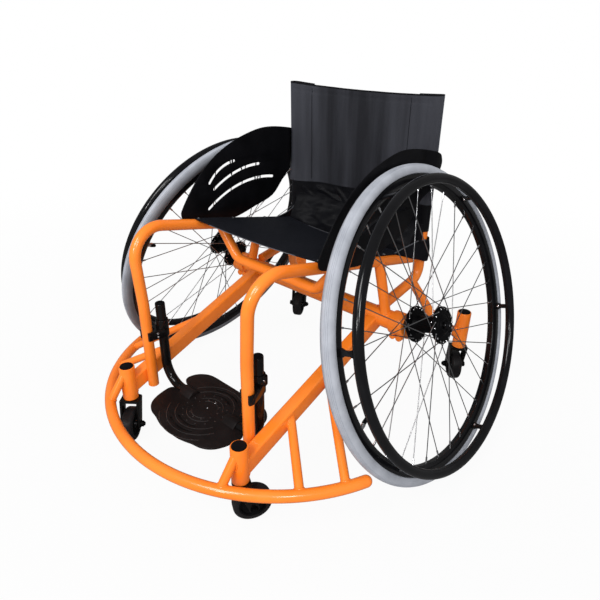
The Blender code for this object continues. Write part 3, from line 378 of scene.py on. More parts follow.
def bent_tube(corners, bends, radius):
    """A tube extruded along its straight runs and spun round its bends."""
    corners = [Vector(corner) for corner in corners]
    bpy.ops.mesh.primitive_circle_add(vertices=TUBE_SIDES, radius=radius, location=corners[0],
                                      rotation=aim(corners[1] - corners[0]).to_euler())
    edit(bpy.context.object)
    here = corners[0]
    for before, corner, after, bend in zip(corners, corners[1:], corners[2:], bends):
        arriving = (corner - before).normalized()
        leaving = (after - corner).normalized()
        angle = arriving.angle(leaving)
        reach = bend * math.tan(angle / 2)
        axis = arriving.cross(leaving).normalized()
        start = corner - arriving * reach
        extrude(start - here)
        bpy.ops.mesh.spin(steps=max(3, round(angle / BEND_STEP)), angle=SPIN_SIGN * angle,
                          center=start + axis.cross(arriving) * bend, axis=axis)
        here = corner + leaving * reach
    extrude(corners[-1] - here)
    close_ends()
    return apply_place(leave())


def turned(profile, sides, ring=False, place=HERE):
    """A shape of revolution about Z, each ring extruded from the last and scaled.

    A ring is closed on itself, and any other shape gets a flat face at each end.
    """
    (radius, height), *rest = profile
    start_circle(radius, sides, (0, 0, height))
    for next_radius, next_height in rest:
        extrude((0, 0, next_height - height))
        share = next_radius / radius
        bpy.ops.transform.resize(value=(share, share, 1), center_override=(0, 0, next_height))
        radius, height = next_radius, next_height
    if ring:
        bpy.ops.mesh.select_all(action="DESELECT")
        bpy.ops.mesh.select_non_manifold()
        bpy.ops.mesh.bridge_edge_loops()
        face_outwards()
    else:
        close_ends()
    return put(leave(), place)


def both_ways(half):
    """A ring's section that is alike on both sides of Z = 0, from its upper half."""
    return [(r, -z) for r, z in reversed(half)] + half


def torus(radius, height, tube_radius, sides, steps):
    """A round ring about Z, spun from one circle."""
    start_circle(tube_radius, sides, (radius, 0, height), (math.pi / 2, 0, 0))
    bpy.ops.mesh.spin(steps=steps, angle=2 * math.pi, center=(0, 0, 0), axis=(0, 0, 1))
    face_outwards()
    return leave()


def poly_curve(outlines, closed):
    """A curve object with straight stretches through each list of points."""
    bpy.ops.curve.primitive_bezier_circle_add()
    made = bpy.context.object
    made.data.splines.clear()
    for outline in outlines:
        line = made.data.splines.new("POLY")
        line.points.add(len(outline) - 1)
        for knot, point in zip(line.points, outline):
            knot.co = Vector(point).to_3d().to_4d()
        line.use_cyclic_u = closed
    return made


def as_mesh(curve):
    pick(curve)
    bpy.ops.object.convert(target="MESH")
    return bpy.context.object


def cord(points, radius, closed=False, ripple=0.0):
    """A thin round line through the points, its thickness rippled by a share."""
    curve = poly_curve([points], closed)
    for k, knot in enumerate(curve.data.splines[0].points):
        knot.radius = 1 + ripple * math.sin(k * 2.2)
    curve.data.dimensions = "3D"
    curve.data.bevel_depth = radius
    curve.data.bevel_resolution = 2
    curve.data.use_fill_caps = True
    return as_mesh(curve)


def cut_plate(outlines, thickness, edge, place=HERE):
    """A flat plate with rounded edges about Z = 0; its first outline holds the others."""
    curve = poly_curve(outlines, closed=True)
    curve.data.dimensions = "2D"
    curve.data.fill_mode = "BOTH"
    curve.data.extrude = thickness / 2 - edge
    curve.data.bevel_depth = edge
    curve.data.bevel_resolution = 2
    curve.data.offset = -edge
    edit(as_mesh(curve))
    face_outwards()
    return put(leave(), place)


def arc(centre, radius, start, end, count):
    """Points on an arc of a circle in two dimensions, angles in degrees."""
    turn = [math.radians(start + (end - start) * k / (count - 1)) for k in range(count)]
    return [(centre[0] + radius * math.cos(t), centre[1] + radius * math.sin(t)) for t in turn]


def circle(centre, radius, count):
    return arc(centre, radius, 0, 360 * (count - 1) / count, count)


def hull_outline(points):
    """The points that a band stretched round them all would touch, in order."""
    order = geometry.convex_hull_2d([Vector(point[:2]) for point in points])
    return [points[k] for k in order]


def smooth_loop(points, steps):
    """A closed smooth line through the points."""
    made = []
    count = len(points)
    for k in range(count):
        a, b, c, d = (Vector(points[(k + j) % count]) for j in (-1, 0, 1, 2))
        for j in range(steps):
            t = j / steps
            made.append(tuple(0.5 * (2 * b + (c - a) * t + (2 * a - 5 * b + 4 * c - d) * t**2
                                     + (3 * b - a - 3 * c + d) * t**3)))
    return made


def band_slot(centre, radius, start, end, width, count=12):
    """A slot with round ends along an arc, angles in degrees."""
    turn = 180 if end > start else -180
    half = width / 2
    tip = arc(centre, radius, end, end, 2)[0]
    tail = arc(centre, radius, start, start, 2)[0]
    return (arc(centre, radius + half, start, end, count)
            + arc(tip, half, end, end + turn, 6)[1:-1]
            + arc(centre, radius - half, end, start, count)
            + arc(tail, half, start + 180, start + 180 + turn, 6)[1:-1])


def hex_screw(place, radius, depth):
    """A cap screw with a drilled head, its head's foot at the place's origin, along +Z."""
    profile = [(radius, -0.0004), (radius, depth - 0.0005), (radius - 0.0005, depth),
               (radius * 0.5, depth), (radius * 0.5, depth - 0.0014)]
    return turned(profile, 18, place=place)


# Paths of the frame's tubes


def beam(y):
    """The main beam's middle line."""
    return Vector((BEAM_X, y, BEAM_MIDDLE_AT_AXLE + BEAM_SLOPE * y))


def rail_z(y):
    return RAIL_AXLE_Z - RAIL_SLOPE * y


def rail(y):
    """The seat rail's middle line, which spreads from the knee towards the cane."""
    share = (y - RAIL_KNEE[1]) / (CANE_AXLE_BACK - RAIL_KNEE[1])
    return Vector((RAIL_KNEE[0] + (CANE_X - RAIL_INSET - RAIL_KNEE[0]) * share, y, rail_z(y)))


def cane(z):
    """The back cane's middle line."""
    return Vector((CANE_X, CANE_AXLE_BACK - CANE_LEAN * z, z))


def rail_end():
    """Where the seat rail's middle line meets the cane's."""
    return rail((CANE_AXLE_BACK - CANE_LEAN * RAIL_AXLE_Z) / (1 - CANE_LEAN * RAIL_SLOPE))


def cane_foot(y):
    """The middle line of the cane's foot, which runs forward to the camber tube."""
    return Vector((CANE_X, y, CAMBER_TUBE_Z + CANE_FOOT_RISE + CANE_FOOT_SLOPE * y))


def cane_elbow():
    """Where the cane's middle line meets its foot's."""
    foot_z = cane_foot(0).z
    return cane_foot((CANE_AXLE_BACK - CANE_LEAN * foot_z) / (1 + CANE_LEAN * CANE_FOOT_SLOPE))


def bumper_point(angle):
    """A point on the bumper's middle line, at an angle from straight ahead."""
    return Vector((BUMPER_RADIUS * math.sin(angle),
                   BUMPER_CENTRE_Y - BUMPER_RADIUS * math.cos(angle), BUMPER_Z))


def side_strut_line(angle, beam_y):
    """The ends of a strut, on the bumper at an angle in degrees and on the main beam."""
    return bumper_point(math.radians(angle)), beam(beam_y)


def front_strut_line():
    """The ends of the front strut, in the castor housing's middle and on the bumper."""
    x, y = HOUSINGS["front"]["centre"]
    return (Vector((x, y, HOUSINGS["front"]["low"] + FRONT_STRUT_JOIN)),
            bumper_point(math.asin(x / BUMPER_RADIUS)))


def rail_strut_line():
    return Vector((RAIL_STRUT_FOOT_X, RAIL_STRUT_Y, CAMBER_TUBE_Z)), rail(RAIL_STRUT_Y)


def rear_arm_line():
    """The rear arm's start at the cane's foot, its knee and its end in the housing."""
    start = cane_elbow() + Vector(REAR_ARM_START)
    end = Vector((*HOUSINGS["rear"]["centre"], HOUSINGS["rear"]["low"] + REAR_ARM_JOIN))
    return start, start.lerp(end, REAR_ARM_KNEE_SHARE) + Vector(REAR_ARM_KNEE_OFFSET), end


# Frame


def main_beam():
    """A rectangular tube with rounded edges, from the castor housing to the camber tube."""
    start = beam(HOUSINGS["front"]["centre"][1])
    run = beam(0) - start
    made = block(start + run / 2, (BEAM_WIDTH, run.length, BEAM_HEIGHT),
                 (math.atan(BEAM_SLOPE), 0, 0))
    select_where(made, "EDGE", lambda edge: edge.calc_length() > run.length * 0.99)
    bpy.ops.mesh.bevel(offset=BEAM_CORNER, segments=5)
    face_outwards()
    return leave()


def camber_tube():
    """The cross tube, with a split collar at each end cut square to the axle."""
    parts = [round_bar((-CAMBER_TUBE_END_X, 0, CAMBER_TUBE_Z),
                       (CAMBER_TUBE_END_X, 0, CAMBER_TUBE_Z), CAMBER_TUBE_RADIUS, 40)]
    lug_z = CAMBER_TUBE_Z - COLLAR_RADIUS - CLAMP_LUG_RADIUS * CLAMP_LUG_SUNK
    for side in SIDES.values():
        inner = CAMBER_TUBE_END_X - COLLAR_LENGTH
        collar = round_bar((side * inner, 0, CAMBER_TUBE_Z),
                           (side * (CAMBER_TUBE_END_X + COLLAR_RADIUS), 0, CAMBER_TUBE_Z),
                           COLLAR_RADIUS, 48)
        out = Vector((side * AXLE_OUT.x, 0, AXLE_OUT.z))
        seat = Vector((side * AXLE.x, 0, AXLE.z)) - out * CAMBER_END_INSET
        parts.append(soften(cut_off(collar, seat, out), COLLAR_EDGE))
        for lug in (0, 1):
            x = side * (inner + CLAMP_LUG_RADIUS + lug * CLAMP_LUG_SPACING)
            bar = round_bar((x, -CLAMP_LUG_LENGTH / 2, lug_z), (x, CLAMP_LUG_LENGTH / 2, lug_z),
                            CLAMP_LUG_RADIUS, 24)
            parts.append(soften(bar, CLAMP_LUG_EDGE))
    return join(parts, "camber_tube")


def seat_rail():
    """One bent tube: the leg, the knee and the rail back to the cane."""
    corners = [(LEG_X, LEG_Y, LEG_FOOT_Z), (LEG_X, LEG_Y, LEG_KINK_Z),
               (*RAIL_KNEE, rail_z(RAIL_KNEE[1])), rail_end()]
    return soften(bent_tube(corners, [LEG_KINK_BEND, RAIL_KNEE_BEND], TUBE_RADIUS), 0.0012, 3)


def back_cane():
    """The back upright, whose foot curves forward to the camber tube."""
    corners = [cane(CANE_TOP_Z), cane_elbow(), cane_foot(CAMBER_TUBE_RADIUS / 2)]
    return bent_tube(corners, [CANE_BEND], TUBE_RADIUS)


def front_cross_tube():
    """A shallow U under the seat's front, from rail to rail."""
    corners = [rail(CROSS_TUBE_Y), Vector((CROSS_TUBE_HALF_FLAT, CROSS_TUBE_Y, CROSS_TUBE_Z))]
    corners += [Vector((-p.x, p.y, p.z)) for p in reversed(corners)]
    return bent_tube(corners, [CROSS_TUBE_BEND] * 2, TUBE_RADIUS)


def rail_strut():
    return round_bar(*rail_strut_line(), RAIL_STRUT_RADIUS)


def rear_arm():
    """The tube from the cane's foot out and back to the rear castor's housing."""
    return bent_tube(rear_arm_line(), [REAR_ARM_BEND], REAR_ARM_RADIUS)


def bumper_bar():
    """The curved bar round the front, spun from one circle, with domed ends."""
    start_circle(TUBE_RADIUS, TUBE_SIDES, bumper_point(-BUMPER_HALF_ANGLE),
                 (math.pi / 2, 0, math.pi / 2 - BUMPER_HALF_ANGLE))
    bpy.ops.mesh.spin(steps=72, angle=SPIN_SIGN * 2 * BUMPER_HALF_ANGLE,
                      center=(0, BUMPER_CENTRE_Y, BUMPER_Z), axis=(0, 0, 1))
    close_ends()
    parts = [leave()]
    for side in (-1, 1):
        parts.append(ball(bumper_point(side * BUMPER_HALF_ANGLE), TUBE_RADIUS, TUBE_SIDES, 14))
    return join(parts, "bumper_bar")


def bumper_front_strut():
    """The strut from the front of the castor housing to the bumper."""
    start, end = front_strut_line()
    return round_bar(start - Vector((0, HOUSING_RADIUS / 2, 0)), end, STRUT_RADIUS)


def castor_housing(end):
    """A bearing tube with a small rim at its top and foot."""
    centre, low, height = HOUSINGS[end].values()
    mouth = HOUSING_RADIUS - HOUSING_MOUTH_WALL
    profile = [
        (HOUSING_RADIUS - HOUSING_FOOT_WALL, 0.0),
        (HOUSING_RADIUS - HOUSING_LIP, 0.0),
        (HOUSING_RADIUS, HOUSING_LIP),
        (HOUSING_RADIUS, height - HOUSING_LIP),
        (HOUSING_RADIUS - HOUSING_LIP * 0.6, height),
        (mouth, height),
        (mouth, height - HOUSING_MOUTH_DEPTH),
    ]
    return turned(profile, 40, place=at(*centre, low))


def housing_cap(end):
    """A pressed-in cap with a soft crown."""
    centre, low, height = HOUSINGS[end].values()
    radius = HOUSING_RADIUS - HOUSING_MOUTH_WALL - CAP_CLEAR
    profile = [(radius, -CAP_SUNK), (radius, CAP_CLEAR)]
    for k in range(1, 6):
        turn = math.pi / 2 * k / 6
        profile.append((radius * math.cos(turn) if k > 2 else radius * (1 - 0.02 * k),
                        CAP_CLEAR + CAP_CROWN * math.sin(turn)))
    return turned(profile, 40, place=at(*centre, low + height))


# Materials


def finish(name, colour, roughness, metallic, sockets):
    """A material with a plain Principled shader; sockets holds its other settings."""
    made = bpy.data.materials.new(name)
    made.use_nodes = True
    shader = made.node_tree.nodes["Principled BSDF"]
    values = {"Base Color": (*colour, 1), "Roughness": roughness, "Metallic": metallic}
    for socket, value in (values | sockets).items():
        shader.inputs[socket].default_value = value
    return made


def node(owner, kind, inputs, **settings):
    """Adds a shader node; inputs holds plain values, or the sockets that feed it."""
    made = owner.node_tree.nodes.new("ShaderNode" + kind)
    for name, value in settings.items():
        setattr(made, name, value)
    for socket, value in inputs.items():
        if isinstance(value, bpy.types.NodeSocket):
            owner.node_tree.links.new(value, made.inputs[socket])
        else:
            made.inputs[socket].default_value = value
    return made


def feed(material, output, socket):
    """Links an output to one of the material's Principled sockets."""
    shader = material.node_tree.nodes["Principled BSDF"]
    material.node_tree.links.new(output, shader.inputs[socket])


def places(material):
    return node(material, "TexCoord", {}).outputs["Object"]


def speckle(material, where, scale, detail=3.0):
    """Soft noise between 0 and 1."""
    made = node(material, "TexNoise", {"Vector": where, "Scale": scale, "Detail": detail})
    return made.outputs["Fac"]


def worked_out(owner, operation, *values):
    """The result of one sum on values or sockets."""
    return node(owner, "Math", dict(enumerate(values)), operation=operation).outputs["Value"]


def mapped(owner, value, low, high, start=0.0, full=1.0):
    """A socket whose value goes from low to high as another goes from start to full."""
    made = node(owner, "MapRange", {"Value": value, "From Min": start, "From Max": full,
                                    "To Min": low, "To Max": high})
    return made.outputs["Result"]


def tones(material, value, dark, light, low=0.35, high=0.65):
    """A colour between two tones by a value, fed to the base colour."""
    ramp = node(material, "ValToRGB", {"Fac": value})
    for stop, place, tone in zip(ramp.color_ramp.elements, (low, high), (dark, light)):
        stop.position = place
        stop.color = (*tone, 1)
    feed(material, ramp.outputs["Color"], "Base Color")
    return ramp.outputs["Color"]


def uneven_gloss(material, value, low, high):
    feed(material, mapped(material, value, low, high), "Roughness")


def relief(material, height, depth, strength=0.4):
    """Fine unevenness of a depth, as a bump."""
    bump = node(material, "Bump", {"Height": height, "Distance": depth, "Strength": strength})
    feed(material, bump.outputs["Normal"], "Normal")


def enamel():
    """Glossy orange stove enamel with a faint orange-peel skin."""
    made = finish("orange_enamel", ORANGE, 0.30, 0.0,
                  {"Coat Weight": 0.75, "Coat Roughness": 0.15, "Specular IOR Level": 0.24})
    where = places(made)
    tones(made, speckle(made, where, 9), ORANGE_DEEP, ORANGE)
    uneven_gloss(made, speckle(made, where, 35), 0.24, 0.36)
    relief(made, speckle(made, where, 700, 1), 0.00012, 0.10)
    return made


def satin_black(name, base, roughness, peel, depth, shine=0.05):
    """A black finish with uneven gloss and a fine skin of the given scale."""
    made = finish(name, base, roughness, 0.0, {"Specular IOR Level": shine})
    where = places(made)
    tones(made, speckle(made, where, 22), base, tuple(value * 1.7 for value in base))
    uneven_gloss(made, speckle(made, where, 60), roughness * 0.8, roughness * 1.2)
    relief(made, speckle(made, where, peel, 2), depth)
    return made


def grey_rubber():
    """Pale tyre rubber with scuffs, and with painted shade on the side that faces the frame."""
    made = finish("grey_rubber", TYRE_GREY, 0.55, 0.0, {"Specular IOR Level": 0.30})
    where = places(made)
    grey = tones(made, speckle(made, where, 30, 5), TYRE_GREY_DEEP, TYRE_GREY, 0.30, 0.62)
    # Painted shade: the half of the tyre that faces the frame is darkened, most at its inner edge.
    apart = node(made, "SeparateXYZ", {0: where}).outputs
    folded = node(made, "CombineXYZ", {"X": worked_out(made, "ABSOLUTE", apart["X"]),
                                       "Y": apart["Y"], "Z": apart["Z"]})
    outward = node(made, "VectorMath", {0: folded.outputs["Vector"], 1: tuple(AXLE_OUT)},
                   operation="DOT_PRODUCT")
    middle = AXLE.dot(AXLE_OUT)
    lit_share = mapped(made, outward.outputs["Value"], TYRE_INNER_SHADE, 1.0,
                   middle - TYRE_WIDTH / 2, middle - 0.001)
    shaded = node(made, "VectorMath", {0: grey, "Scale": lit_share}, operation="SCALE")
    feed(made, shaded.outputs["Vector"], "Base Color")
    uneven_gloss(made, speckle(made, where, 80), 0.48, 0.66)
    relief(made, speckle(made, where, 900, 2), 0.0001)
    return made


def steel(name, colour, roughness):
    """Bright metal with faint brushing."""
    made = finish(name, colour, roughness, 1.0, {"Anisotropic": 0.25})
    uneven_gloss(made, speckle(made, places(made), 240, 4), roughness * 0.75, roughness * 1.3)
    return made


def nylon(name, base, light, sheen, streak=3.0, spread=(0.3, 0.75), gloss=(0.52, 0.72),
          shine=0.06, painted_side_sheen=None):
    """Pack cloth: crossing threads from the sheet's own UV map in metres, soft creases, and, where
    asked, a painted sheen that makes both sides paler.
    """
    made = finish(name, base, 0.62, 0.0,
                  {"Specular IOR Level": shine, "Sheen Weight": sheen, "Sheen Roughness": 0.4,
                   "Sheen Tint": (0.62, 0.70, 0.95, 1)})
    cloth_uv = node(made, "UVMap", {}, uv_map="cloth").outputs["UV"]
    threads = {"Vector": cloth_uv, "Scale": 0.5 / NYLON_THREAD, "Distortion": 0.5}
    along, across = (node(made, "TexWave", threads, bands_direction=way).outputs["Fac"]
                     for way in ("X", "Y"))
    weave = worked_out(made, "MULTIPLY", along, across)
    stretched = node(made, "Mapping", {"Vector": cloth_uv, "Scale": (24, streak, 1)})
    streaks = speckle(made, stretched.outputs["Vector"], 1.0, 4)
    paler = streaks
    if painted_side_sheen:
        # Painted sheen: the tone is made paler towards both sides of the cloth's map.
        middle, start, full, gain = painted_side_sheen
        place = node(made, "SeparateXYZ", {0: cloth_uv}).outputs["X"]
        beside = worked_out(made, "ABSOLUTE", worked_out(made, "SUBTRACT", place, middle))
        paler = worked_out(made, "ADD", paler, mapped(made, beside, 0.0, gain, start, full))
    tones(made, paler, base, light, *spread)
    relief(made, worked_out(made, "ADD", weave, streaks), 0.00025, 0.55)
    uneven_gloss(made, streaks, *gloss)
    return made


# Colours are linear values
ORANGE = (0.96, 0.240, 0.025)
ORANGE_DEEP = (0.90, 0.200, 0.013)
TYRE_GREY = (0.39, 0.408, 0.452)
TYRE_GREY_DEEP = (0.305, 0.321, 0.361)
# The share of its tone that the painted shade leaves at the tyre's inner edge
TYRE_INNER_SHADE = 0.34
TYRE_WIDTH = 0.025
NYLON_THREAD = 0.0007
# The middle of the back's map, where the painted sheen on its sides starts and is full, and how
# much paler that painted sheen makes them
BACK_PAINTED_SHEEN = (0.262, 0.070, 0.155, 0.32)

ENAMEL = enamel()
BLACK_ENAMEL = satin_black("black_enamel", (0.0034, 0.0029, 0.0029), 0.10, 500, 0.00006, 0.27)
RIM_BLACK = satin_black("anodised_black", (0.0034, 0.0034, 0.0040), 0.14, 400, 0.00005, 0.30)
HUB_BLACK = satin_black("hub_black", (0.0016, 0.0016, 0.0019), 0.38, 300, 0.00008, 0.07)
GUARD_BLACK = satin_black("guard_black", (0.0034, 0.0034, 0.0042), 0.45, 900, 0.00015, 0.10)
CAP_BLACK = satin_black("cap_black", (0.0032, 0.0032, 0.0038), 0.40, 1200, 0.0001)
PLATE_BLACK = satin_black("plate_black", (0.0068, 0.0050, 0.0050), 0.44, 650, 0.0003, 0.12)
# Painted highlight: the ribs and studs are the plate's plastic with a paler base, so that they
# read as lit lines, besides their real higher gloss.
RIB_BLACK_PAINTED_GLINT = satin_black("rib_black_painted_glint", (0.0150, 0.0122, 0.0122), 0.22, 650, 0.0001, 0.80)
CASTOR_RUBBER = satin_black("castor_rubber", (0.0085, 0.0078, 0.0085), 0.42, 800, 0.0002, 0.18)
TYRE_RUBBER = grey_rubber()
SPOKE_STEEL = steel("spoke_steel", (0.36, 0.36, 0.37), 0.34)
BRIGHT_STEEL = steel("bright_steel", (0.72, 0.72, 0.74), 0.24)
DARK_STEEL = steel("dark_steel", (0.030, 0.030, 0.032), 0.38)
SEAT_NYLON = nylon("seat_nylon", (0.0048, 0.0048, 0.0062), (0.0085, 0.0087, 0.0110), 0.020)
FLAP_NYLON = nylon("flap_nylon", (0.0034, 0.0034, 0.0044), (0.0075, 0.0077, 0.0098), 0.020,
                   gloss=(0.34, 0.50), shine=0.13)
# The back's sides are made paler as a painted sheen.
BACK_NYLON = nylon("back_nylon", (0.0170, 0.0172, 0.0205), (0.0580, 0.0600, 0.0720), 0.10,
                   streak=2.0, spread=(0.42, 0.95), painted_side_sheen=BACK_PAINTED_SHEEN)
# Painted highlight: the tape of the seat's hem, seam and corner is made pale so that these edges
# read as lit lines.
BINDING_PAINTED_HIGHLIGHT = nylon("binding_tape_painted_highlight", (0.0800, 0.0820, 0.0900), (0.1100, 0.1120, 0.1200), 0.10)


# Drive wheels, in a wheel's own frame: Z runs out along the axle

RIM_RADIUS = 0.2855
TYRE_MIDDLE_RADIUS = RIM_RADIUS + 0.0070
TYRE_SPREAD = math.radians(118)
TYRE_GROOVES = [math.radians(angle) for angle in (-40, -27, -14, 14, 27, 40)]
TYRE_GROOVE_DEPTH = 0.00065
TYRE_GROOVE_HALF = math.radians(3.0)
RIM_DEPTH = 0.019
RIM_WIDTH = 0.0204
RIM_NOSE_WIDTH = 0.011
RIM_NOSE_RADIUS = RIM_RADIUS - RIM_DEPTH
RIM_WALL = 0.0021
RIM_WELL_DEPTH = 0.0042
RIM_TAPER = 0.0070
PUSH_RIM_RADIUS = 0.2720
PUSH_RIM_TUBE = 0.0185
PUSH_RIM_OFFSET = 0.0423
PUSH_RIM_TABS = 6
TAB_TURN = math.radians(18)
TAB_WIDTH = 0.015
TAB_THICKNESS = 0.0055
TAB_INNER = RIM_NOSE_RADIUS + RIM_TAPER + 0.001
TAB_FOOT = 0.004
TAB_FLARE = 0.006
TAB_SCREW_RISE = 0.0045
WHEEL_SIDES = 160
SPOKES_PER_FLANGE = 18
SPOKE_CROSSINGS = 3
SPOKE_RADIUS = 0.00095
SPOKE_CIRCLE = 0.0318
SPOKE_CLEAR = 0.0016
NIPPLE_LENGTH = 0.013
NIPPLE_RADIUS = 0.0018
SPOKE_HEAD_RADIUS = 0.0021
HUB_LENGTH = 0.070
HUB_FLANGE_RADIUS = 0.0358
HUB_FLANGE_SPACING = 0.0562
HUB_FLANGE_THICKNESS = 0.0040
HUB_BARREL_RADIUS = 0.0165
HUB_SHOULDER = 0.0040
HUB_END_DEPTH = 0.0012
PIN_RADIUS = 0.00635
PIN_COLLAR_RADIUS = 0.0135
PIN_COLLAR_STEP = 0.0018
PIN_TAIL = 0.030
PIN_END = HUB_LENGTH / 2 + 0.0015
BUTTON_RADIUS = 0.0072
BUTTON_HEIGHT = 0.0042
BUTTON_STEM_RADIUS = 0.0032
BUTTON_STEM_LENGTH = 0.026
BUTTON_TRAVEL = 0.003
VALVE_ANGLE = math.radians(-71)
VALVE_THREADS = 7
VALVE_PITCH = 0.0012


def wheel_place(side):
    return (at(side * AXLE.x, AXLE.y, AXLE.z)
            @ Matrix.Rotation(side * (math.pi / 2 - CAMBER), 4, "Y"))


def tyre():
    """A round tyre between the rim's walls, with fine grooves round its crown."""
    section = TYRE_WIDTH / 2
    steps = 36
    crown = [TYRE_SPREAD * (2 * k / steps - 1) for k in range(steps + 1)]
    points = [(angle, 0.0) for angle in crown
              if all(abs(angle - groove) > TYRE_GROOVE_HALF * 1.2 for groove in TYRE_GROOVES)]
    for groove in TYRE_GROOVES:
        for share, dip in ((-1, 0), (-0.5, 1), (0.5, 1), (1, 0)):
            points.append((groove + share * TYRE_GROOVE_HALF, dip * TYRE_GROOVE_DEPTH))
    profile = [(TYRE_MIDDLE_RADIUS + (section - dip) * math.cos(angle),
                (section - dip) * math.sin(angle)) for angle, dip in sorted(points)]
    bead = RIM_WIDTH / 2 - RIM_WALL - GAP
    seat = RIM_RADIUS - RIM_WELL_DEPTH + GAP
    neck = RIM_RADIUS + GAP
    profile += [(neck, bead), (seat, bead), (seat, -bead), (neck, -bead)]
    return turned(profile, WHEEL_SIDES, ring=True)


def rim():
    """A deep channel rim with straight walls and a rounded nose."""
    wall = RIM_WIDTH / 2
    half = [(RIM_NOSE_RADIUS, RIM_NOSE_WIDTH / 2), (RIM_NOSE_RADIUS + RIM_TAPER, wall),
            (RIM_RADIUS, wall), (RIM_RADIUS, wall - RIM_WALL),
            (RIM_RADIUS - RIM_WELL_DEPTH, wall - RIM_WALL)]
    return soften(turned(both_ways(half), WHEEL_SIDES, ring=True), 0.0009, 3, 25)


def spoke(hole, leading):
    """A spoke's wire, and its bright head, knuckle at the flange and nipple at the rim."""
    pitch = 2 * math.pi / SPOKES_PER_FLANGE
    flange = HUB_FLANGE_SPACING / 2
    face = leading * (HUB_FLANGE_THICKNESS / 2 + SPOKE_CLEAR)
    foot = polar(SPOKE_CIRCLE, hole * pitch, flange + face)
    back = polar(SPOKE_CIRCLE, hole * pitch, flange - face)
    tip = polar(RIM_NOSE_RADIUS + 0.001, (hole + leading * SPOKE_CROSSINGS) * pitch)
    nipple = tip + (foot - tip).normalized() * NIPPLE_LENGTH
    wire = [round_bar(foot, tip, SPOKE_RADIUS, 8), round_bar(back, foot, SPOKE_RADIUS, 8)]
    bright = [round_bar(tip, nipple, NIPPLE_RADIUS, 8),
              ball(back, SPOKE_HEAD_RADIUS, 10, 6, 0.55), ball(foot, SPOKE_RADIUS * 1.7, 8, 6)]
    return join(wire, "wire"), join(bright, "bright")


def spokes_and_nipples():
    """One outer and one inner spoke, copied round both flanges and joined."""
    other_flange = (Matrix.Rotation(math.pi / SPOKES_PER_FLANGE, 4, "Z")
                    @ Matrix.Diagonal((1, 1, -1, 1)))
    made = []
    for outer, inner, name in zip(spoke(0, 1), spoke(1, -1), ("spokes", "nipples")):
        flange = join(ring_of(join([outer, inner], "first"), SPOKES_PER_FLANGE // 2), name)
        made.append(join([flange, mirrored(flange, "other", other_flange)], name))
    return made


def hub():
    """The hub shell with its barrel and two flanges."""
    end = HUB_LENGTH / 2
    flange = HUB_FLANGE_SPACING / 2
    half_flange = HUB_FLANGE_THICKNESS / 2
    shoulder = HUB_BARREL_RADIUS + HUB_SHOULDER
    half = [
        (HUB_BARREL_RADIUS, flange / 2),
        (HUB_BARREL_RADIUS + 0.0015, flange - 3 * half_flange),
        (shoulder, flange - 1.4 * half_flange),
        (HUB_FLANGE_RADIUS, flange - half_flange),
        (HUB_FLANGE_RADIUS, flange + half_flange),
        (shoulder, flange + half_flange),
        (shoulder - 0.001, flange + half_flange + 0.0015),
        (HUB_BARREL_RADIUS - 0.001, flange + half_flange + 0.0030),
        (HUB_BARREL_RADIUS - 0.002, end),
        (PIN_RADIUS + 0.0045, end),
        (PIN_RADIUS + 0.0040, end - HUB_END_DEPTH),
        (PIN_RADIUS + GAP, end - HUB_END_DEPTH),
    ]
    return soften(turned(both_ways(half), 72, ring=True), 0.0006, 2, 28)


def push_rim():
    """The round hand rim and the six tabs that carry it on the wheel rim."""
    hoop = torus(PUSH_RIM_RADIUS, PUSH_RIM_OFFSET, PUSH_RIM_TUBE / 2, 24, WHEEL_SIDES)
    low = RIM_WIDTH / 2 + GAP
    neck = PUSH_RIM_OFFSET - PUSH_RIM_TUBE * 0.3 - low - TAB_FOOT - 2 * TAB_FLARE
    tab = block((TAB_INNER + TAB_THICKNESS / 2, 0, low + TAB_FOOT / 2),
                (TAB_THICKNESS, TAB_WIDTH, TAB_FOOT))
    select_where(tab, "FACE", lambda face: face.normal.z > 0.9)
    for height, share in ((TAB_FLARE, 0.62), (neck, 1.0), (TAB_FLARE, 1.45)):
        extrude((0, 0, height))
        bpy.ops.transform.resize(value=(1, share, 1))
    face_outwards()
    tab = soften(leave(), 0.0009, 2)
    return join([hoop, *ring_of(tab, PUSH_RIM_TABS, TAB_TURN)], "push_rim")


def tab_screws():
    """A button-head screw on the inner side of each tab's foot."""
    profile = [(0.0030, 0.0006), (0.0030, -0.0006), (0.0026, -0.0014), (0.0017, -0.0019),
               (0.0011, -0.0019), (0.0011, -0.0010)]
    place = at(TAB_INNER, 0, RIM_WIDTH / 2 + TAB_SCREW_RISE)
    screw = turned(profile, 16, place=place @ Matrix.Rotation(math.pi / 2, 4, "Y"))
    return join(ring_of(screw, PUSH_RIM_TABS, TAB_TURN), "tab_screws")


def valve():
    """The tube's valve through the rim's nose: a threaded stem and a black cap."""
    place = (Matrix.Rotation(VALVE_ANGLE, 4, "Z") @ at(RIM_NOSE_RADIUS, 0, 0)
             @ Matrix.Rotation(-math.pi / 2, 4, "Y"))
    rings = [(0.0046, -0.0002), (0.0046, 0.0016), (0.0030, 0.0020)]
    for k in range(VALVE_THREADS):
        rings += [(0.0030, 0.0026 + k * VALVE_PITCH), (0.0026, 0.0032 + k * VALVE_PITCH)]
    stem = turned(rings, 16, place=place)
    cap = turned([(0.0036, 0.0110), (0.0039, 0.0118), (0.0037, 0.0220), (0.0030, 0.0238),
                  (0.0012, 0.0243)], 16)
    return stem, put(soften(cap, 0.0003), place)


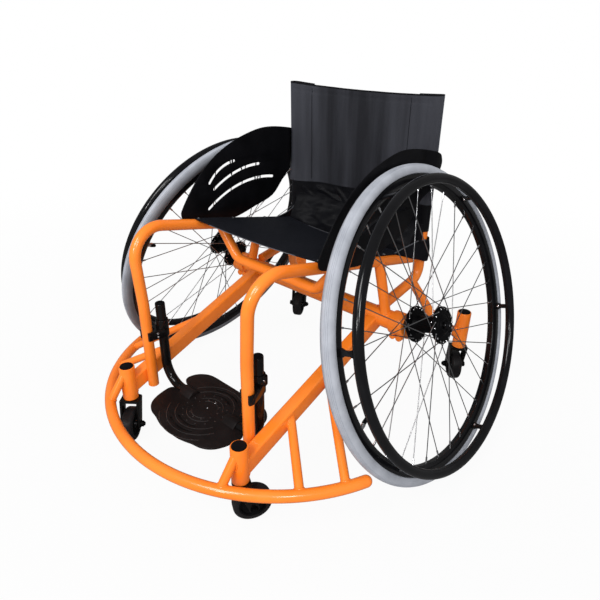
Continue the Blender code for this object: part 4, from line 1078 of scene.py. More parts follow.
def axle_pin():
    """The quick-release axle and its collar against the camber tube's end."""
    low = GAP - CAMBER_END_INSET
    high = -HUB_LENGTH / 2 - GAP
    profile = [
        (PIN_RADIUS - 0.001, -CAMBER_END_INSET - PIN_TAIL),
        (PIN_RADIUS, -CAMBER_END_INSET - PIN_TAIL + 0.001),
        (PIN_RADIUS, low),
        (PIN_COLLAR_RADIUS, low),
        (PIN_COLLAR_RADIUS, low + 0.006),
        (PIN_COLLAR_RADIUS - PIN_COLLAR_STEP, low + 0.0068),
        (PIN_COLLAR_RADIUS - PIN_COLLAR_STEP, high - 0.0015),
        (PIN_COLLAR_RADIUS - 0.0030, high),
        (PIN_RADIUS, high),
        (PIN_RADIUS, PIN_END - 0.0006),
        (PIN_RADIUS - 0.0006, PIN_END),
        (BUTTON_STEM_RADIUS + GAP, PIN_END),
        (BUTTON_STEM_RADIUS + GAP, PIN_END - BUTTON_STEM_LENGTH - BUTTON_TRAVEL - 0.001),
    ]
    return turned(profile, 40)


def release_button():
    """The black push button and the bright stem that shows in its middle."""
    head = PIN_END + BUTTON_TRAVEL + GAP
    top = head + BUTTON_HEIGHT
    knob = turned([
        (BUTTON_STEM_RADIUS, head),
        (BUTTON_RADIUS - 0.0005, head),
        (BUTTON_RADIUS, head + 0.0006),
        (BUTTON_RADIUS, top - 0.0012),
        (BUTTON_RADIUS - 0.0005, top - 0.0004),
        (BUTTON_RADIUS - 0.0016, top),
        (0.0030, top - 0.0003),
        (0.0024, top - 0.0008),
    ], 32)
    stem = turned([
        (BUTTON_STEM_RADIUS, PIN_END - BUTTON_STEM_LENGTH),
        (BUTTON_STEM_RADIUS, head - 0.0002),
        (0.0020, head - 0.0002),
        (0.0020, top + 0.0001),
        (0.0012, top + 0.0006),
    ], 24)
    return knob, stem


# Castors, in a castor's own frame: the swivel axis is Z and the wheel trails to +Y

CASTOR_RADIUS = 0.036
CASTOR_TREAD = 0.024
CASTOR_SHOULDER = 0.0062
CASTOR_HUB_WIDTH = 0.0294
CASTOR_CORE_RADIUS = 0.0262
FORK_TOP = -0.0005
FORK_PLATE = 0.0054
FORK_CROWN = 0.0065
FORK_LEG_WIDTH = 0.0185
FORK_LEAN_SHARE = 0.4
FORK_HALF_WIDTH = CASTOR_HUB_WIDTH / 2 + GAP + FORK_PLATE
STEM_RADIUS = 0.006
BOLT_RADIUS = 0.0040
BOLT_HEAD_RADIUS = 0.0066
BOLT_HEAD_HEIGHT = 0.0062
WASHER = 0.0010
CAP_DEPTH = 0.005


def castor_places(end, word):
    """The swivel's place, the axle's place, the wheel's trail and its drop."""
    swivel = Vector(joints[end + "_castor_swivel_" + word]["pos_m"])
    reach = Vector(joints[end + "_castor_roll_" + word]["pos_m"]) - swivel
    heading = math.atan2(reach.y, reach.x)
    trail = math.hypot(reach.x, reach.y)
    place = Matrix.Translation(swivel) @ Matrix.Rotation(heading - math.pi / 2, 4, "Z")
    axle_place = place @ at(0, trail, reach.z) @ Matrix.Rotation(math.pi / 2, 4, "Y")
    return place, axle_place, trail, -reach.z


def castor_fork(trail, drop, stem_length):
    """A crown plate, two tapering legs and the stem."""
    half = FORK_LEG_WIDTH / 2
    behind = trail * FORK_LEAN_SHARE + half
    crown = circle((0, 0), HOUSING_RADIUS, 30)
    crown += [(x, y) for x in (-FORK_HALF_WIDTH, FORK_HALF_WIDTH) for y in (-half, behind)]
    parts = [cut_plate([hull_outline(crown)], FORK_CROWN, 0.0011,
                       at(0, 0, FORK_TOP - FORK_CROWN / 2))]
    leg = circle((trail, -drop), half, 45)
    leg += [(y, z) for y in (-half, behind) for z in (FORK_TOP - 0.0012, FORK_TOP - FORK_CROWN)]
    for side in (-1, 1):
        place = at(side * (FORK_HALF_WIDTH - FORK_PLATE / 2), 0, 0) @ STANDING
        parts.append(cut_plate([hull_outline(leg)], FORK_PLATE, 0.0010, place))
    parts.append(round_bar((0, 0, FORK_TOP - FORK_CROWN / 3), (0, 0, stem_length),
                           STEM_RADIUS, 24))
    parts.append(round_bar((0, 0, FORK_TOP - 0.0002), (0, 0, FORK_TOP + 0.0004),
                           HOUSING_RADIUS - 0.002, 32))
    return join(parts, "castor_fork")


def castor_core():
    """The wheel's moulded centre with a dished web and a short hub."""
    tread = CASTOR_TREAD / 2
    half = [
        (BOLT_RADIUS + GAP, 0.0088),
        (0.0095, 0.0088),
        (0.0100, 0.0082),
        (0.0104, 0.0060),
        (0.0125, 0.0048),
        (0.0195, 0.0050),
        (0.0225, 0.0070),
        (0.0232, tread - 0.0018),
        (0.0240, tread - 0.0012),
        (CASTOR_CORE_RADIUS, tread - 0.0012),
    ]
    return soften(turned(both_ways(half), 56, ring=True), 0.0004, 2, 30)


def castor_tread():
    """The rubber tread with rounded shoulders."""
    tread = CASTOR_TREAD / 2
    low_z = tread - CASTOR_SHOULDER
    low_r = CASTOR_RADIUS - CASTOR_SHOULDER
    half = [(CASTOR_CORE_RADIUS, tread - 0.0010), (CASTOR_CORE_RADIUS + 0.0012, tread - 0.0002),
            (low_r, tread)]
    for k in range(1, 7):
        turn = math.pi / 2 * k / 6
        half.append((low_r + CASTOR_SHOULDER * math.sin(turn),
                     low_z + CASTOR_SHOULDER * math.cos(turn)))
    return turned(both_ways(half), 72, ring=True)


def castor_spacers():
    """A bright sleeve on the axle on each side of the wheel."""
    parts = [round_bar((0, 0, side * 0.0086), (0, 0, side * CASTOR_HUB_WIDTH / 2), 0.0058, 24)
             for side in (-1, 1)]
    return join(parts, "castor_spacers")


def castor_bolt():
    """The axle bolt with a chamfered hexagonal head, its nut, a washer under each."""
    seat = FORK_HALF_WIDTH + GAP
    parts = [round_bar((0, 0, -seat - 0.0085), (0, 0, seat + 0.002), BOLT_RADIUS, 24)]
    for side in (-1, 1):
        parts.append(round_bar((0, 0, side * (seat - 0.0002)), (0, 0, side * (seat + WASHER)),
                               BOLT_HEAD_RADIUS + 0.0008, 28))
        head = round_bar((0, 0, side * (seat + WASHER)), (0, 0, side * (seat + BOLT_HEAD_HEIGHT)),
                         BOLT_HEAD_RADIUS, 6)
        parts.append(soften(head, 0.0006, 2))
    return join(parts, "castor_bolt")


# Footrest

FOOT_TUBE = (LEG_X - 0.0072, LEG_Y + 0.032)
FOOT_TUBE_RADIUS = 0.010
FOOT_TUBE_TOP = 0.2975
FOOT_TUBE_BEND = 0.050
FOOT_TUBE_LOW = 0.113
FOOT_TUBE_END_X = 0.052
PLATE_TOP = 0.1150
PLATE_THICKNESS = 0.0045
PLATE_EDGE = 0.0012
PLATE_MIDDLE_Y = -0.326
PLATE_RING_Y = FOOT_TUBE[1] - 0.014
PLATE_RIBS = ((0.026, 50), (0.036, 62), (0.058, 66), (0.0745, 64), (0.0885, 44))
PLATE_RIB_HEIGHT = 0.0009
PLATE_STUDS = ((0.029, 10), (0.044, 14))
PLATE_STUD_RADIUS = 0.0019
PLATE_FLOOR = 0.0012
PLATE_FLOOR_SHARE = 0.985
PLATE_SLOT_RINGS = (0.050, 0.066)
PLATE_SLOT_WIDTH = 0.0034
PLATE_SCREWS = ((0.0, -0.2985), (0.0, -0.3200))
SOCKET_LENGTH = 0.0330
SOCKET_WALL = 0.0019
SOCKET_FOOT = 0.017
CLAMP_LOW = 0.225
CLAMP_HEIGHT = 0.0375
CLAMP_WALL = 0.0045
CLAMP_EDGE = 0.0012
CLAMP_BAND_HEIGHT = 0.0195
CLAMP_SCREWS_RISE = (0.0055, 0.0140)
SLEEVE_WALL = 0.0030
SLEEVE_HEIGHT = CLAMP_HEIGHT - CLAMP_BAND_HEIGHT + 0.004
CLAMP_OPEN = 0.0065
BOSS_ANGLE = math.radians(30)
BOSS_OUT = Vector((math.cos(BOSS_ANGLE), math.sin(BOSS_ANGLE)))
BOSS_REACH = 0.0095
BOSS_RADIUS = 0.0072


def footrest_tube():
    """An upright, bent in at its foot to the plate's socket."""
    corners = [(*FOOT_TUBE, FOOT_TUBE_TOP), (*FOOT_TUBE, FOOT_TUBE_LOW),
               (FOOT_TUBE_END_X, FOOT_TUBE[1], FOOT_TUBE_LOW)]
    return soften(bent_tube(corners, [FOOT_TUBE_BEND], FOOT_TUBE_RADIUS), 0.0010, 3)


def footrest_plug():
    """A ribbed plug in the upright's open end."""
    radius = FOOT_TUBE_RADIUS
    return turned([(radius - 0.002, -0.004), (radius - 0.002, -0.0004), (radius - 0.0005, 0.0002),
                   (radius - 0.0005, 0.0010), (radius - 0.0016, 0.0018), (0.0050, 0.0019),
                   (0.0045, 0.0008)], 28, place=at(*FOOT_TUBE, FOOT_TUBE_TOP))


def footrest_clamp():
    """A low band round the leg, a tall sleeve round the upright and its pinch boss."""
    leg = (LEG_X, LEG_Y)
    leg_hole = circle(leg, TUBE_RADIUS + GAP, 36)
    tube_hole = circle(FOOT_TUBE, FOOT_TUBE_RADIUS + GAP, 36)
    round_sleeve = circle(FOOT_TUBE, FOOT_TUBE_RADIUS + SLEEVE_WALL, 45)
    band = hull_outline(circle(leg, TUBE_RADIUS + CLAMP_WALL, 45) + round_sleeve)
    band = cut_plate([band, leg_hole, tube_hole], CLAMP_BAND_HEIGHT, CLAMP_EDGE,
                     at(0, 0, CLAMP_LOW + CLAMP_BAND_HEIGHT / 2))
    cut_off(band, (LEG_X, LEG_Y - CLAMP_OPEN, 0), (-0.12, -0.99, 0))
    top = CLAMP_LOW + CLAMP_HEIGHT
    sleeve = cut_plate([hull_outline(round_sleeve), tube_hole], SLEEVE_HEIGHT, CLAMP_EDGE,
                       at(0, 0, top - SLEEVE_HEIGHT / 2))
    tube = Vector(FOOT_TUBE)
    away = tube + BOSS_OUT * BOSS_REACH
    across = Vector((-BOSS_OUT.y, BOSS_OUT.x)) * BOSS_RADIUS
    outline = arc(away, BOSS_RADIUS, 0, 340, 24) + [tuple(away - across), tuple(away + across)]
    outline += arc(FOOT_TUBE, FOOT_TUBE_RADIUS + 0.002, 0, 340, 24)
    boss = cut_plate([hull_outline(outline), tube_hole], SLEEVE_HEIGHT * 0.86, CLAMP_EDGE,
                     at(0, 0, top - SLEEVE_HEIGHT * 0.57))
    cut_off(boss, (*(away + (away - tube) * 0.45), top - SLEEVE_HEIGHT), (*BOSS_OUT, -1.0))
    return join([band, sleeve, boss], "footrest_clamp")


def clamp_screws():
    """Two screws into the band and one through the boss."""
    leg = Vector((LEG_X, LEG_Y))
    tube = Vector(FOOT_TUBE)
    along = (tube - leg).normalized()
    out = Vector((-abs(along.y), along.x if along.y > 0 else -along.x))
    middle = leg.lerp(tube, 0.52) + out * (FOOT_TUBE_RADIUS + SLEEVE_WALL + 0.0012)
    made = [hex_screw(facing((*middle, CLAMP_LOW + rise), (*out, 0)), 0.0023, 0.0018)
            for rise in CLAMP_SCREWS_RISE]
    across = Vector((BOSS_OUT.y, -BOSS_OUT.x))
    boss = tube + BOSS_OUT * 0.0120 + across * 0.0068
    made.append(hex_screw(facing((*boss, CLAMP_LOW + CLAMP_HEIGHT - 0.0095), (*across, 0)),
                          0.0021, 0.0012))
    return join(made, "clamp_screws")


def footplate_outline():
    """The plate's edge, from its left half."""
    half = [
        (0.020, -0.4120), (0.040, -0.4082), (0.0570, -0.4030), (0.0735, -0.3998),
        (0.0870, -0.3935), (0.0975, -0.3840), (0.1045, -0.3720), (0.1090, -0.3590),
        (0.1120, -0.3430), (0.1125, -0.3310), (0.1080, -0.3232), (0.0960, -0.3170),
        (0.0865, -0.3100), (0.0842, -0.3040), (0.0890, -0.2985), (0.1000, -0.2950),
        (0.1090, -0.2900), (0.1138, -0.2810), (0.1115, -0.2670), (0.1030, -0.2540),
        (0.0880, -0.2438), (0.0700, -0.2402), (0.0450, -0.2400), (0.0200, -0.2398),
    ]
    return smooth_loop(half + [(-x, y) for x, y in reversed(half)], 3)


def footplate():
    """A moulded plate with drain slots over a thin floor, and a socket for each tube."""
    slots = [band_slot((0, PLATE_RING_Y), radius, start, start + 56, PLATE_SLOT_WIDTH)
             for radius in PLATE_SLOT_RINGS for start in (62, 242)]
    plate = cut_plate([footplate_outline(), *slots], PLATE_THICKNESS, PLATE_EDGE,
                      at(0, 0, PLATE_TOP - PLATE_THICKNESS / 2))
    floor_place = at(0, (1 - PLATE_FLOOR_SHARE) * PLATE_MIDDLE_Y,
                     PLATE_TOP - PLATE_THICKNESS + PLATE_FLOOR / 2 + 0.0002)
    parts = [plate, cut_plate([footplate_outline()], PLATE_FLOOR, 0.0003, floor_place
                              @ Matrix.Diagonal((PLATE_FLOOR_SHARE, PLATE_FLOOR_SHARE, 1, 1)))]
    section = circle((FOOT_TUBE[1], FOOT_TUBE_LOW), FOOT_TUBE_RADIUS + SOCKET_WALL, 45)
    section += [(FOOT_TUBE[1] + side * SOCKET_FOOT, PLATE_TOP - PLATE_EDGE) for side in (-1, 1)]
    length = SOCKET_LENGTH + SOCKET_WALL
    for side in (-1, 1):
        place = at(side * (FOOT_TUBE_END_X - SOCKET_WALL + length / 2), 0, 0) @ STANDING
        parts.append(cut_plate([hull_outline(section)], length, 0.0014, place))
    return join(parts, "footplate")


def rib(radius, middle, spread):
    """A low round rib along an arc on the plate's top, angles in degrees."""
    line = arc((0, PLATE_RING_Y), radius, middle - spread, middle + spread, 20)
    return put(cord(line, PLATE_RIB_HEIGHT), at(0, 0, PLATE_TOP - PLATE_RIB_HEIGHT * 0.15))


def plate_ribs():
    """The ring ribs and the small studs between them."""
    parts = []
    for radius, spread in PLATE_RIBS:
        parts.append(rib(radius, 270, spread))
        if radius < 0.08:
            parts.append(rib(radius, 90, spread))
    for radius, count in PLATE_STUDS:
        for k in range(count):
            place = polar(radius, 2 * math.pi * (k + 0.5) / count, PLATE_TOP)
            parts.append(ball(place + Vector((0, PLATE_RING_Y, 0)), PLATE_STUD_RADIUS, 10, 6, 0.6))
    return join(parts, "footplate_ribs")


def plate_screws():
    made = [hex_screw(at(x, y, PLATE_TOP), 0.0018, 0.0012) for x, y in PLATE_SCREWS]
    return join(made, "footplate_screws")


# Side guards

GUARD_THICKNESS = 0.0020
GUARD_LOW = (0.1835, 0.42)
GUARD_HIGH = (0.1788, 0.60)
GUARD_FLARE = (0.105, 0.132)
GUARD_FLARE_CUTS = 9
GUARD_SLOT_WIDTH = 0.0060
GUARD_BRIDGE = 0.0030
GUARD_RAIL_CLEAR = 0.002
WRAP_RADIUS = TUBE_RADIUS + 0.0006
BACK_CLOTH = 0.0012
GUARD_EDGE = (
    (-0.2120, 0.4480), (-0.2070, 0.4620), (-0.1860, 0.4920), (-0.1600, 0.5220),
    (-0.1290, 0.5480), (-0.1010, 0.5650), (-0.0580, 0.5830), (0.0010, 0.5970),
    (0.0480, 0.5985), (0.1060, 0.5905), (0.1380, 0.5820), (0.1500, 0.5720),
    (0.1515, 0.5520), (0.1230, 0.5080), (0.0880, 0.4720), (0.0530, 0.4390),
    (-0.0040, 0.4240), (-0.0570, 0.4120),
)
GUARD_SLOTS = (
    ((-0.135, 0.501), (-0.103, 0.528), (-0.066, 0.538), (0.87,)),
    ((-0.123, 0.486), (-0.047, 0.517), (0.008, 0.521), (0.40, 0.62, 0.94)),
    ((-0.139, 0.446), (-0.043, 0.486), (0.053, 0.485), (0.72, 0.80)),
)


def guard_inner_x(y, z):
    """The guard leans in with height and flares round the back cloth at its rear."""
    share = (z - GUARD_LOW[1]) / (GUARD_HIGH[1] - GUARD_LOW[1])
    plain = GUARD_LOW[0] + (GUARD_HIGH[0] - GUARD_LOW[0]) * share
    wide = CANE_X + WRAP_RADIUS + BACK_CLOTH + GAP
    return plain + (wide - plain) * smooth_step(
        unit((y - GUARD_FLARE[0]) / (GUARD_FLARE[1] - GUARD_FLARE[0])))


def circle_middle(a, b, c):
    """The centre of the circle through three points."""
    a, b, c = Vector(a), Vector(b), Vector(c)
    d = 2 * (a.x * (b.y - c.y) + b.x * (c.y - a.y) + c.x * (a.y - b.y))
    aa, bb, cc = a.length_squared, b.length_squared, c.length_squared
    return Vector(((aa * (b.y - c.y) + bb * (c.y - a.y) + cc * (a.y - b.y)) / d,
                   (aa * (c.x - b.x) + bb * (a.x - c.x) + cc * (b.x - a.x)) / d))


def bridged_slot(a, b, c, bridges):
    """The open stretches of a slot along the arc through three points."""
    centre = circle_middle(a, b, c)
    radius = (Vector(a) - centre).length
    start, end = (math.degrees(math.atan2(y - centre.y, x - centre.x)) for x, y in (a, c))
    sweep = (end - start + 180) % 360 - 180
    half = (GUARD_BRIDGE + GUARD_SLOT_WIDTH * 0.3) / 2 / abs(math.radians(sweep) * radius)
    marks = [0.0]
    for bridge in bridges:
        marks += [bridge - half, bridge + half]
    marks.append(1.0)
    return [band_slot(centre, radius, start + sweep * first, start + sweep * last,
                      GUARD_SLOT_WIDTH, 10)
            for first, last in zip(marks[::2], marks[1::2])]


def side_guard():
    """A thin moulded guard with three bridged arc slots."""
    along_rail = [(y, rail_z(y) + GUARD_RAIL_CLEAR) for y in (-0.1000, -0.1500, -0.2020)]
    outlines = [smooth_loop(list(GUARD_EDGE) + along_rail, 4)]
    for slot in GUARD_SLOTS:
        outlines += bridged_slot(*slot)
    sheet = cut_plate(outlines, GUARD_THICKNESS, 0.0006)
    edit(sheet)
    for k in range(GUARD_FLARE_CUTS + 1):
        y = GUARD_FLARE[0] + (GUARD_FLARE[1] - GUARD_FLARE[0]) * k / GUARD_FLARE_CUTS
        bpy.ops.mesh.select_all(action="SELECT")
        bpy.ops.mesh.bisect(plane_co=(y, 0, 0), plane_no=(1, 0, 0))
    leave()
    for vert in sheet.data.vertices:
        y, z, out = vert.co
        vert.co = (guard_inner_x(y, z) + GUARD_THICKNESS / 2 + out, y, z)
    return turn_outwards(sheet)


# Upholstery

SEAT_CLOTH = 0.0016
STRIP_CLOTH = 0.0008
SLACK_CLOTH = 0.0009
SEAT_FRONT = -0.194
SEAT_REAR = 0.116
SEAT_SAG = 0.012
SEAT_FRONT_SAG = 0.005
SEAT_WRAP = (78, 104)
SEAT_SCREWS_Y = (-0.185, -0.088, 0.012)
SEAT_SCREW_INSET = 0.0022
BACK_LOW = 0.419
BACK_TOP = 0.688
BACK_FOLD = 0.480
BACK_OVERLAP = 0.012
BACK_SAG = 0.012
BACK_FLAP = 0.045
BACK_TOP_DIP = 0.005
BACK_HEM_DROPS = ((-0.20, 0.017), (-0.165, 0.016), (-0.104, 0.0086), (-0.053, 0.008),
                  (0.041, 0.003), (0.20, 0.003))
BACK_HEM_FLARE = 0.007
SEAM_X = 0.127
HEM = 0.014
# Each fold of the strip: from, to, as places across and up, its width and its height
STRIP_FOLDS = (((-0.110, 0.458), (-0.045, 0.436), 0.0045, 0.0060),
               ((-0.055, 0.466), (-0.020, 0.430), 0.0040, 0.0060),
               ((-0.010, 0.462), (0.050, 0.440), 0.0050, 0.0050),
               ((-0.150, 0.450), (-0.120, 0.428), 0.0040, 0.0040))
LOW_FLAP_HALF = 0.1685
LOW_FLAP_TOP = 0.436
LOW_FLAP_REAR = 0.1030
LOW_FLAP_CANE_FOOT = 0.3965
LOW_FLAP_CANE_RADIUS = 0.0128
LOW_FLAP_WRAP = CANE_X + 0.0070 - LOW_FLAP_HALF
LOW_FLAP_FOOT = rail_z(LOW_FLAP_REAR) + WRAP_RADIUS - SEAT_SAG
# The cloth corner at each rear end of the seat: plan places with the height of its edge
CORNER_TOP = ((0.1675, 0.048, 0.3870), (0.1690, 0.075, 0.3890), (0.1725, 0.105, 0.3925),
              (0.1790, 0.125, 0.3975), (0.1890, 0.1290, 0.4010), (0.1940, 0.1385, 0.4030),
              (0.1905, 0.1490, 0.4030), (0.1800, 0.1530, 0.4025), (0.1690, 0.1480, 0.4010),
              (0.1665, 0.1380, 0.3990))
CORNER_FOOT = ((0.1690, 0.048, 0.3860), (0.1815, 0.070, 0.3790), (0.1860, 0.098, 0.3670),
               (0.1900, 0.122, 0.3585), (0.1950, 0.1310, 0.3550), (0.1965, 0.1395, 0.3530),
               (0.1930, 0.1505, 0.3520), (0.1810, 0.1550, 0.3520), (0.1680, 0.1500, 0.3530),
               (0.1655, 0.1390, 0.3540))
CORNER_MIDDLE = Vector((0.176, 0.110))
CORNER_BULGE = 0.0035
CORNER_BINDING_POINTS = 36


def seat_screws():
    """Bright button heads that fasten the seat's edge on the rail's top."""
    rise = Vector((-SEAT_SCREW_INSET, 0, WRAP_RADIUS + SEAT_CLOTH - 0.0002))
    made = [hex_screw(facing(rail(y) + rise, (-0.15, RAIL_SLOPE, 1)), 0.0034, 0.0016)
            for y in SEAT_SCREWS_Y]
    return join(made, "seat_screws")


def cloth(across, along, place, flat, thickness):
    """A sheet through the points place(u, v), its UV map in metres of cloth, and its area."""
    bpy.ops.mesh.primitive_grid_add(x_subdivisions=across, y_subdivisions=along, size=1)
    made = bpy.context.object
    for vert in made.data.vertices:
        vert.co = place(vert.co.x + 0.5, vert.co.y + 0.5)
    layer = made.data.uv_layers[0]
    layer.name = "cloth"
    for corner in layer.data:
        corner.uv = (corner.uv.x * flat[0], corner.uv.y * flat[1])
    area = sum(face.area for face in made.data.polygons)
    modify(made, "SOLIDIFY", thickness=thickness, offset=1.0, use_even_offset=True)
    return made, area


def polyline_share(points, share):
    """The point at a share of a line's length."""
    lengths = [(b - a).length for a, b in zip(points, points[1:])]
    left = sum(lengths) * unit(share)
    for a, b, length in zip(points, points[1:], lengths):
        if left <= length:
            return a.lerp(b, left / length)
        left -= length
    return points[-1].copy()


def line_length(points):
    return sum((b - a).length for a, b in zip(points, points[1:]))


def creases(x, z, coarse, fine):
    """Loose slanting creases in a slack piece of cloth."""
    wave = noise.noise(Vector((x * 18 + z * 9, 3.1, z * 34))) * coarse
    return wave + noise.noise(Vector((x * 44 - z * 20, 7.7, z * 70))) * fine


def slung(half, back=0.0, down=0.0):
    """A cloth's line across the chair, from its wrap round the left tube and its sag."""
    edge = half[-1]
    for k in range(1, 17):
        share = 1 - k / 16
        slack = 1 - share * share
        half.append(Vector((edge.x * share, edge.y + back * slack, edge.z - down * slack)))
    return [Vector((-p.x, p.y, p.z)) for p in half[:-1]] + list(reversed(half))


def seat_line(y, sag):
    """The seat cloth across the chair at one y, from the right rail's wrap to the left's."""
    centre = rail(y)
    wrap = [Vector((x, y, z)) for x, z in arc(centre.xz, WRAP_RADIUS, *SEAT_WRAP, 15)]
    return slung(wrap, down=sag)


def seat_point(u, v):
    """A point of the seat cloth, by its shares across and back."""
    sag = SEAT_FRONT_SAG + (SEAT_SAG - SEAT_FRONT_SAG) * math.sin(math.pi * v / 2)
    return polyline_share(seat_line(SEAT_FRONT + (SEAT_REAR - SEAT_FRONT) * v, sag), u)


def back_line():
    """The back cloth round both canes in plan, Y from the canes' middle."""
    wrap = [Vector((CANE_X - BACK_FLAP, WRAP_RADIUS, 0))]
    wrap += [Vector((x, y, 0)) for x, y in arc((CANE_X, 0), WRAP_RADIUS, 90, -90, 15)]
    return slung(wrap, back=BACK_SAG)


BACK_LINE = back_line()
BACK_WIDTH = line_length(BACK_LINE)


def back_plan(u):
    """The place in plan at a share of the back cloth, and whether it lies free in front."""
    plan = polyline_share(BACK_LINE, u)
    return plan, plan.y < 0.004 and abs(plan.x) < CANE_X


def back_top(x):
    """The top hem dips between the canes."""
    return BACK_TOP - BACK_TOP_DIP * (1 - (x / CANE_X) ** 2)


def fold_height(x):
    """The height of the panel's lower hem, which hangs lower towards the right cane."""
    drop = BACK_HEM_DROPS[-1][1]
    for (a, low), (b, high) in zip(BACK_HEM_DROPS, BACK_HEM_DROPS[1:]):
        if a <= x <= b:
            drop = low + (high - low) * (x - a) / (b - a)
    return BACK_FOLD - drop


def hump(distance, width):
    """A round hump's share of its height at a distance from its middle."""
    return math.exp(-(distance / width) ** 2)


def panel_point(u, v):
    """A point of the back's upper panel, by its shares across and up."""
    plan, free = back_plan(u)
    fold = fold_height(plan.x)
    top = back_top(plan.x)
    z = fold + (top - fold) * v
    point = Vector((plan.x, plan.y + cane(z).y, z))
    point.x -= BACK_HEM_FLARE * unit((-plan.x - 0.150) / 0.03) * hump(z - fold, 0.028)
    if free:
        wave = noise.noise(Vector((plan.x * 26, 0.4, z * 2.2))) * 0.0022
        wave += noise.noise(Vector((plan.x * 60, 1.7, z * 5))) * 0.0007
        point.y += wave * unit((CANE_X - abs(plan.x)) / 0.05)
        point.y += 0.0011 * hump(abs(plan.x) - SEAM_X, 0.0022)
        point.y += 0.0009 * hump(top - HEM - z, 0.0020)
    return point


def strip_point(u, v):
    """A point of the back's lower strip, which starts just inside the panel."""
    z = BACK_LOW + (BACK_FOLD + BACK_OVERLAP - BACK_LOW) * v
    plan, free = back_plan(u)
    point = Vector((plan.x, plan.y + cane(z).y, z))
    if free:
        below = unit((fold_height(plan.x) - 0.003 - z) / 0.012)
        beside = CANE_X - abs(plan.x)
        loose = min(1.0, beside / 0.05) * min(1.0, v * 4) * below
        point.y += 0.0016 * (1 - below) * min(1.0, beside / 0.02)
        point.y += (0.0035 + creases(plan.x, z, 0.006, 0.0025)) * loose
        for start, end, width, height in STRIP_FOLDS:
            run = Vector(end) - Vector(start)
            here = Vector((plan.x, z)) - Vector(start)
            off = (here - run * unit(here.dot(run) / run.length_squared)).length
            point.y -= height * hump(off, width) * loose
    return point


def flap_point(u, v):
    """A point of the slack cloth between the canes, down behind the seat."""
    x = (LOW_FLAP_HALF + LOW_FLAP_WRAP) * (2 * u - 1)
    if abs(x) > LOW_FLAP_HALF:
        z = LOW_FLAP_CANE_FOOT + (LOW_FLAP_TOP - LOW_FLAP_CANE_FOOT) * v
        out = abs(x) - CANE_X
        return Vector((x, cane(z).y - math.sqrt(LOW_FLAP_CANE_RADIUS ** 2 - out ** 2), z))
    bow = 1 - (x / LOW_FLAP_HALF) ** 2
    foot = LOW_FLAP_FOOT + SEAT_SAG * (1 - bow) - 0.004
    z = foot + (LOW_FLAP_TOP - foot) * v
    top_y = cane(z).y - WRAP_RADIUS + BACK_SAG * bow * 0.8 + 0.003
    loose = math.sin(math.pi * v) * min(1.0, (LOW_FLAP_HALF - abs(x)) / 0.03)
    y = LOW_FLAP_REAR + (top_y - LOW_FLAP_REAR) * smooth_step(v)
    return Vector((x, y + (creases(x, z, 0.011, 0.0045) - 0.004) * loose, z))


def corner_line(points):
    """A smooth open line through the points, closely spaced."""
    bent = smooth_loop(points, 8)
    return [Vector(point) for point in bent[:8 * (len(points) - 1) + 1]]


CORNER_TOP_LINE = corner_line(CORNER_TOP)
CORNER_FOOT_LINE = corner_line(CORNER_FOOT)


def corner_point(u, v):
    """A point of the cloth drawn over the rail's rear end and round the cane's foot."""
    point = polyline_share(CORNER_FOOT_LINE, u).lerp(polyline_share(CORNER_TOP_LINE, u), v)
    away = (point.xy - CORNER_MIDDLE).normalized()
    loose = math.sin(math.pi * v) * min(1.0, u * 4)
    out = (CORNER_BULGE + creases(point.y, point.z, 0.003, 0.0012)) * loose
    return point + Vector((away.x * out, away.y * out * 0.5, 0))


def sewn_cord(points, offset, radius):
    """A cord beside the points, with the UV map that the cloth's finish reads."""
    made = cord([point + Vector(offset) for point in points], radius)
    layers = made.data.uv_layers
    layer = layers[0] if layers else layers.new(name="cloth")
    layer.name = "cloth"
    return made


def corner_binding():
    """The tape along the corner's upper edge, from the rail to the cane, its pale tone a painted
    highlight along the top of the rail's wrap.
    """
    return sewn_cord(CORNER_TOP_LINE[:CORNER_BINDING_POINTS], (0.0006, 0, 0.0004), 0.0012)


def back_cords():
    """The rolled hem on top of the back and the seams where its flaps are sewn on."""
    edge = [panel_point(u / 120, 1.0) for u in range(121)]
    parts = [sewn_cord(edge, (0, -0.0004, -0.0010), 0.0016)]
    for turn in (-1, 1):
        line = [panel_point(0.5 + turn * SEAM_X / BACK_WIDTH, v / 30) for v in range(1, 30)]
        parts.append(sewn_cord(line, (0, -BACK_CLOTH, 0), 0.0008))
    return join(parts, "back_cords")


def seat_cords():
    """The rolled hem along the seat's front and the seam at the flap's foot, pale as painted
    highlights along these edges.
    """
    front = [seat_point(u / 60, 0.0) for u in range(9, 52)]
    share = (LOW_FLAP_REAR - 0.0035 - SEAT_FRONT) / (SEAT_REAR - SEAT_FRONT)
    rear = [seat_point(0.20 + 0.60 * u / 40, share) for u in range(41)]
    parts = [sewn_cord(front, (0, -0.0002, 0.0007), 0.0008),
             sewn_cord(rear, (0, 0, SEAT_CLOTH), 0.0007)]
    return join(parts, "seat_cords")


# Welds


def solid_surface(name):
    """The surface of a solid of the frame, the left one of a pair, with Y from the axle line."""
    solids = frame["nodes"]
    mesh = solids[name if name in solids else name + "_left"].data
    back = CHAIR.inverted()
    return bvhtree.BVHTree.FromPolygons([back @ vert.co for vert in mesh.vertices],
                                        [face.vertices for face in mesh.polygons])


def round_section(run, radius):
    """Offsets round a tube that runs along a direction."""
    run = run.normalized()
    side = run.orthogonal().normalized() * radius
    return [Matrix.Rotation(2 * math.pi * k / WELD_STEPS, 3, run) @ side
            for k in range(WELD_STEPS)]


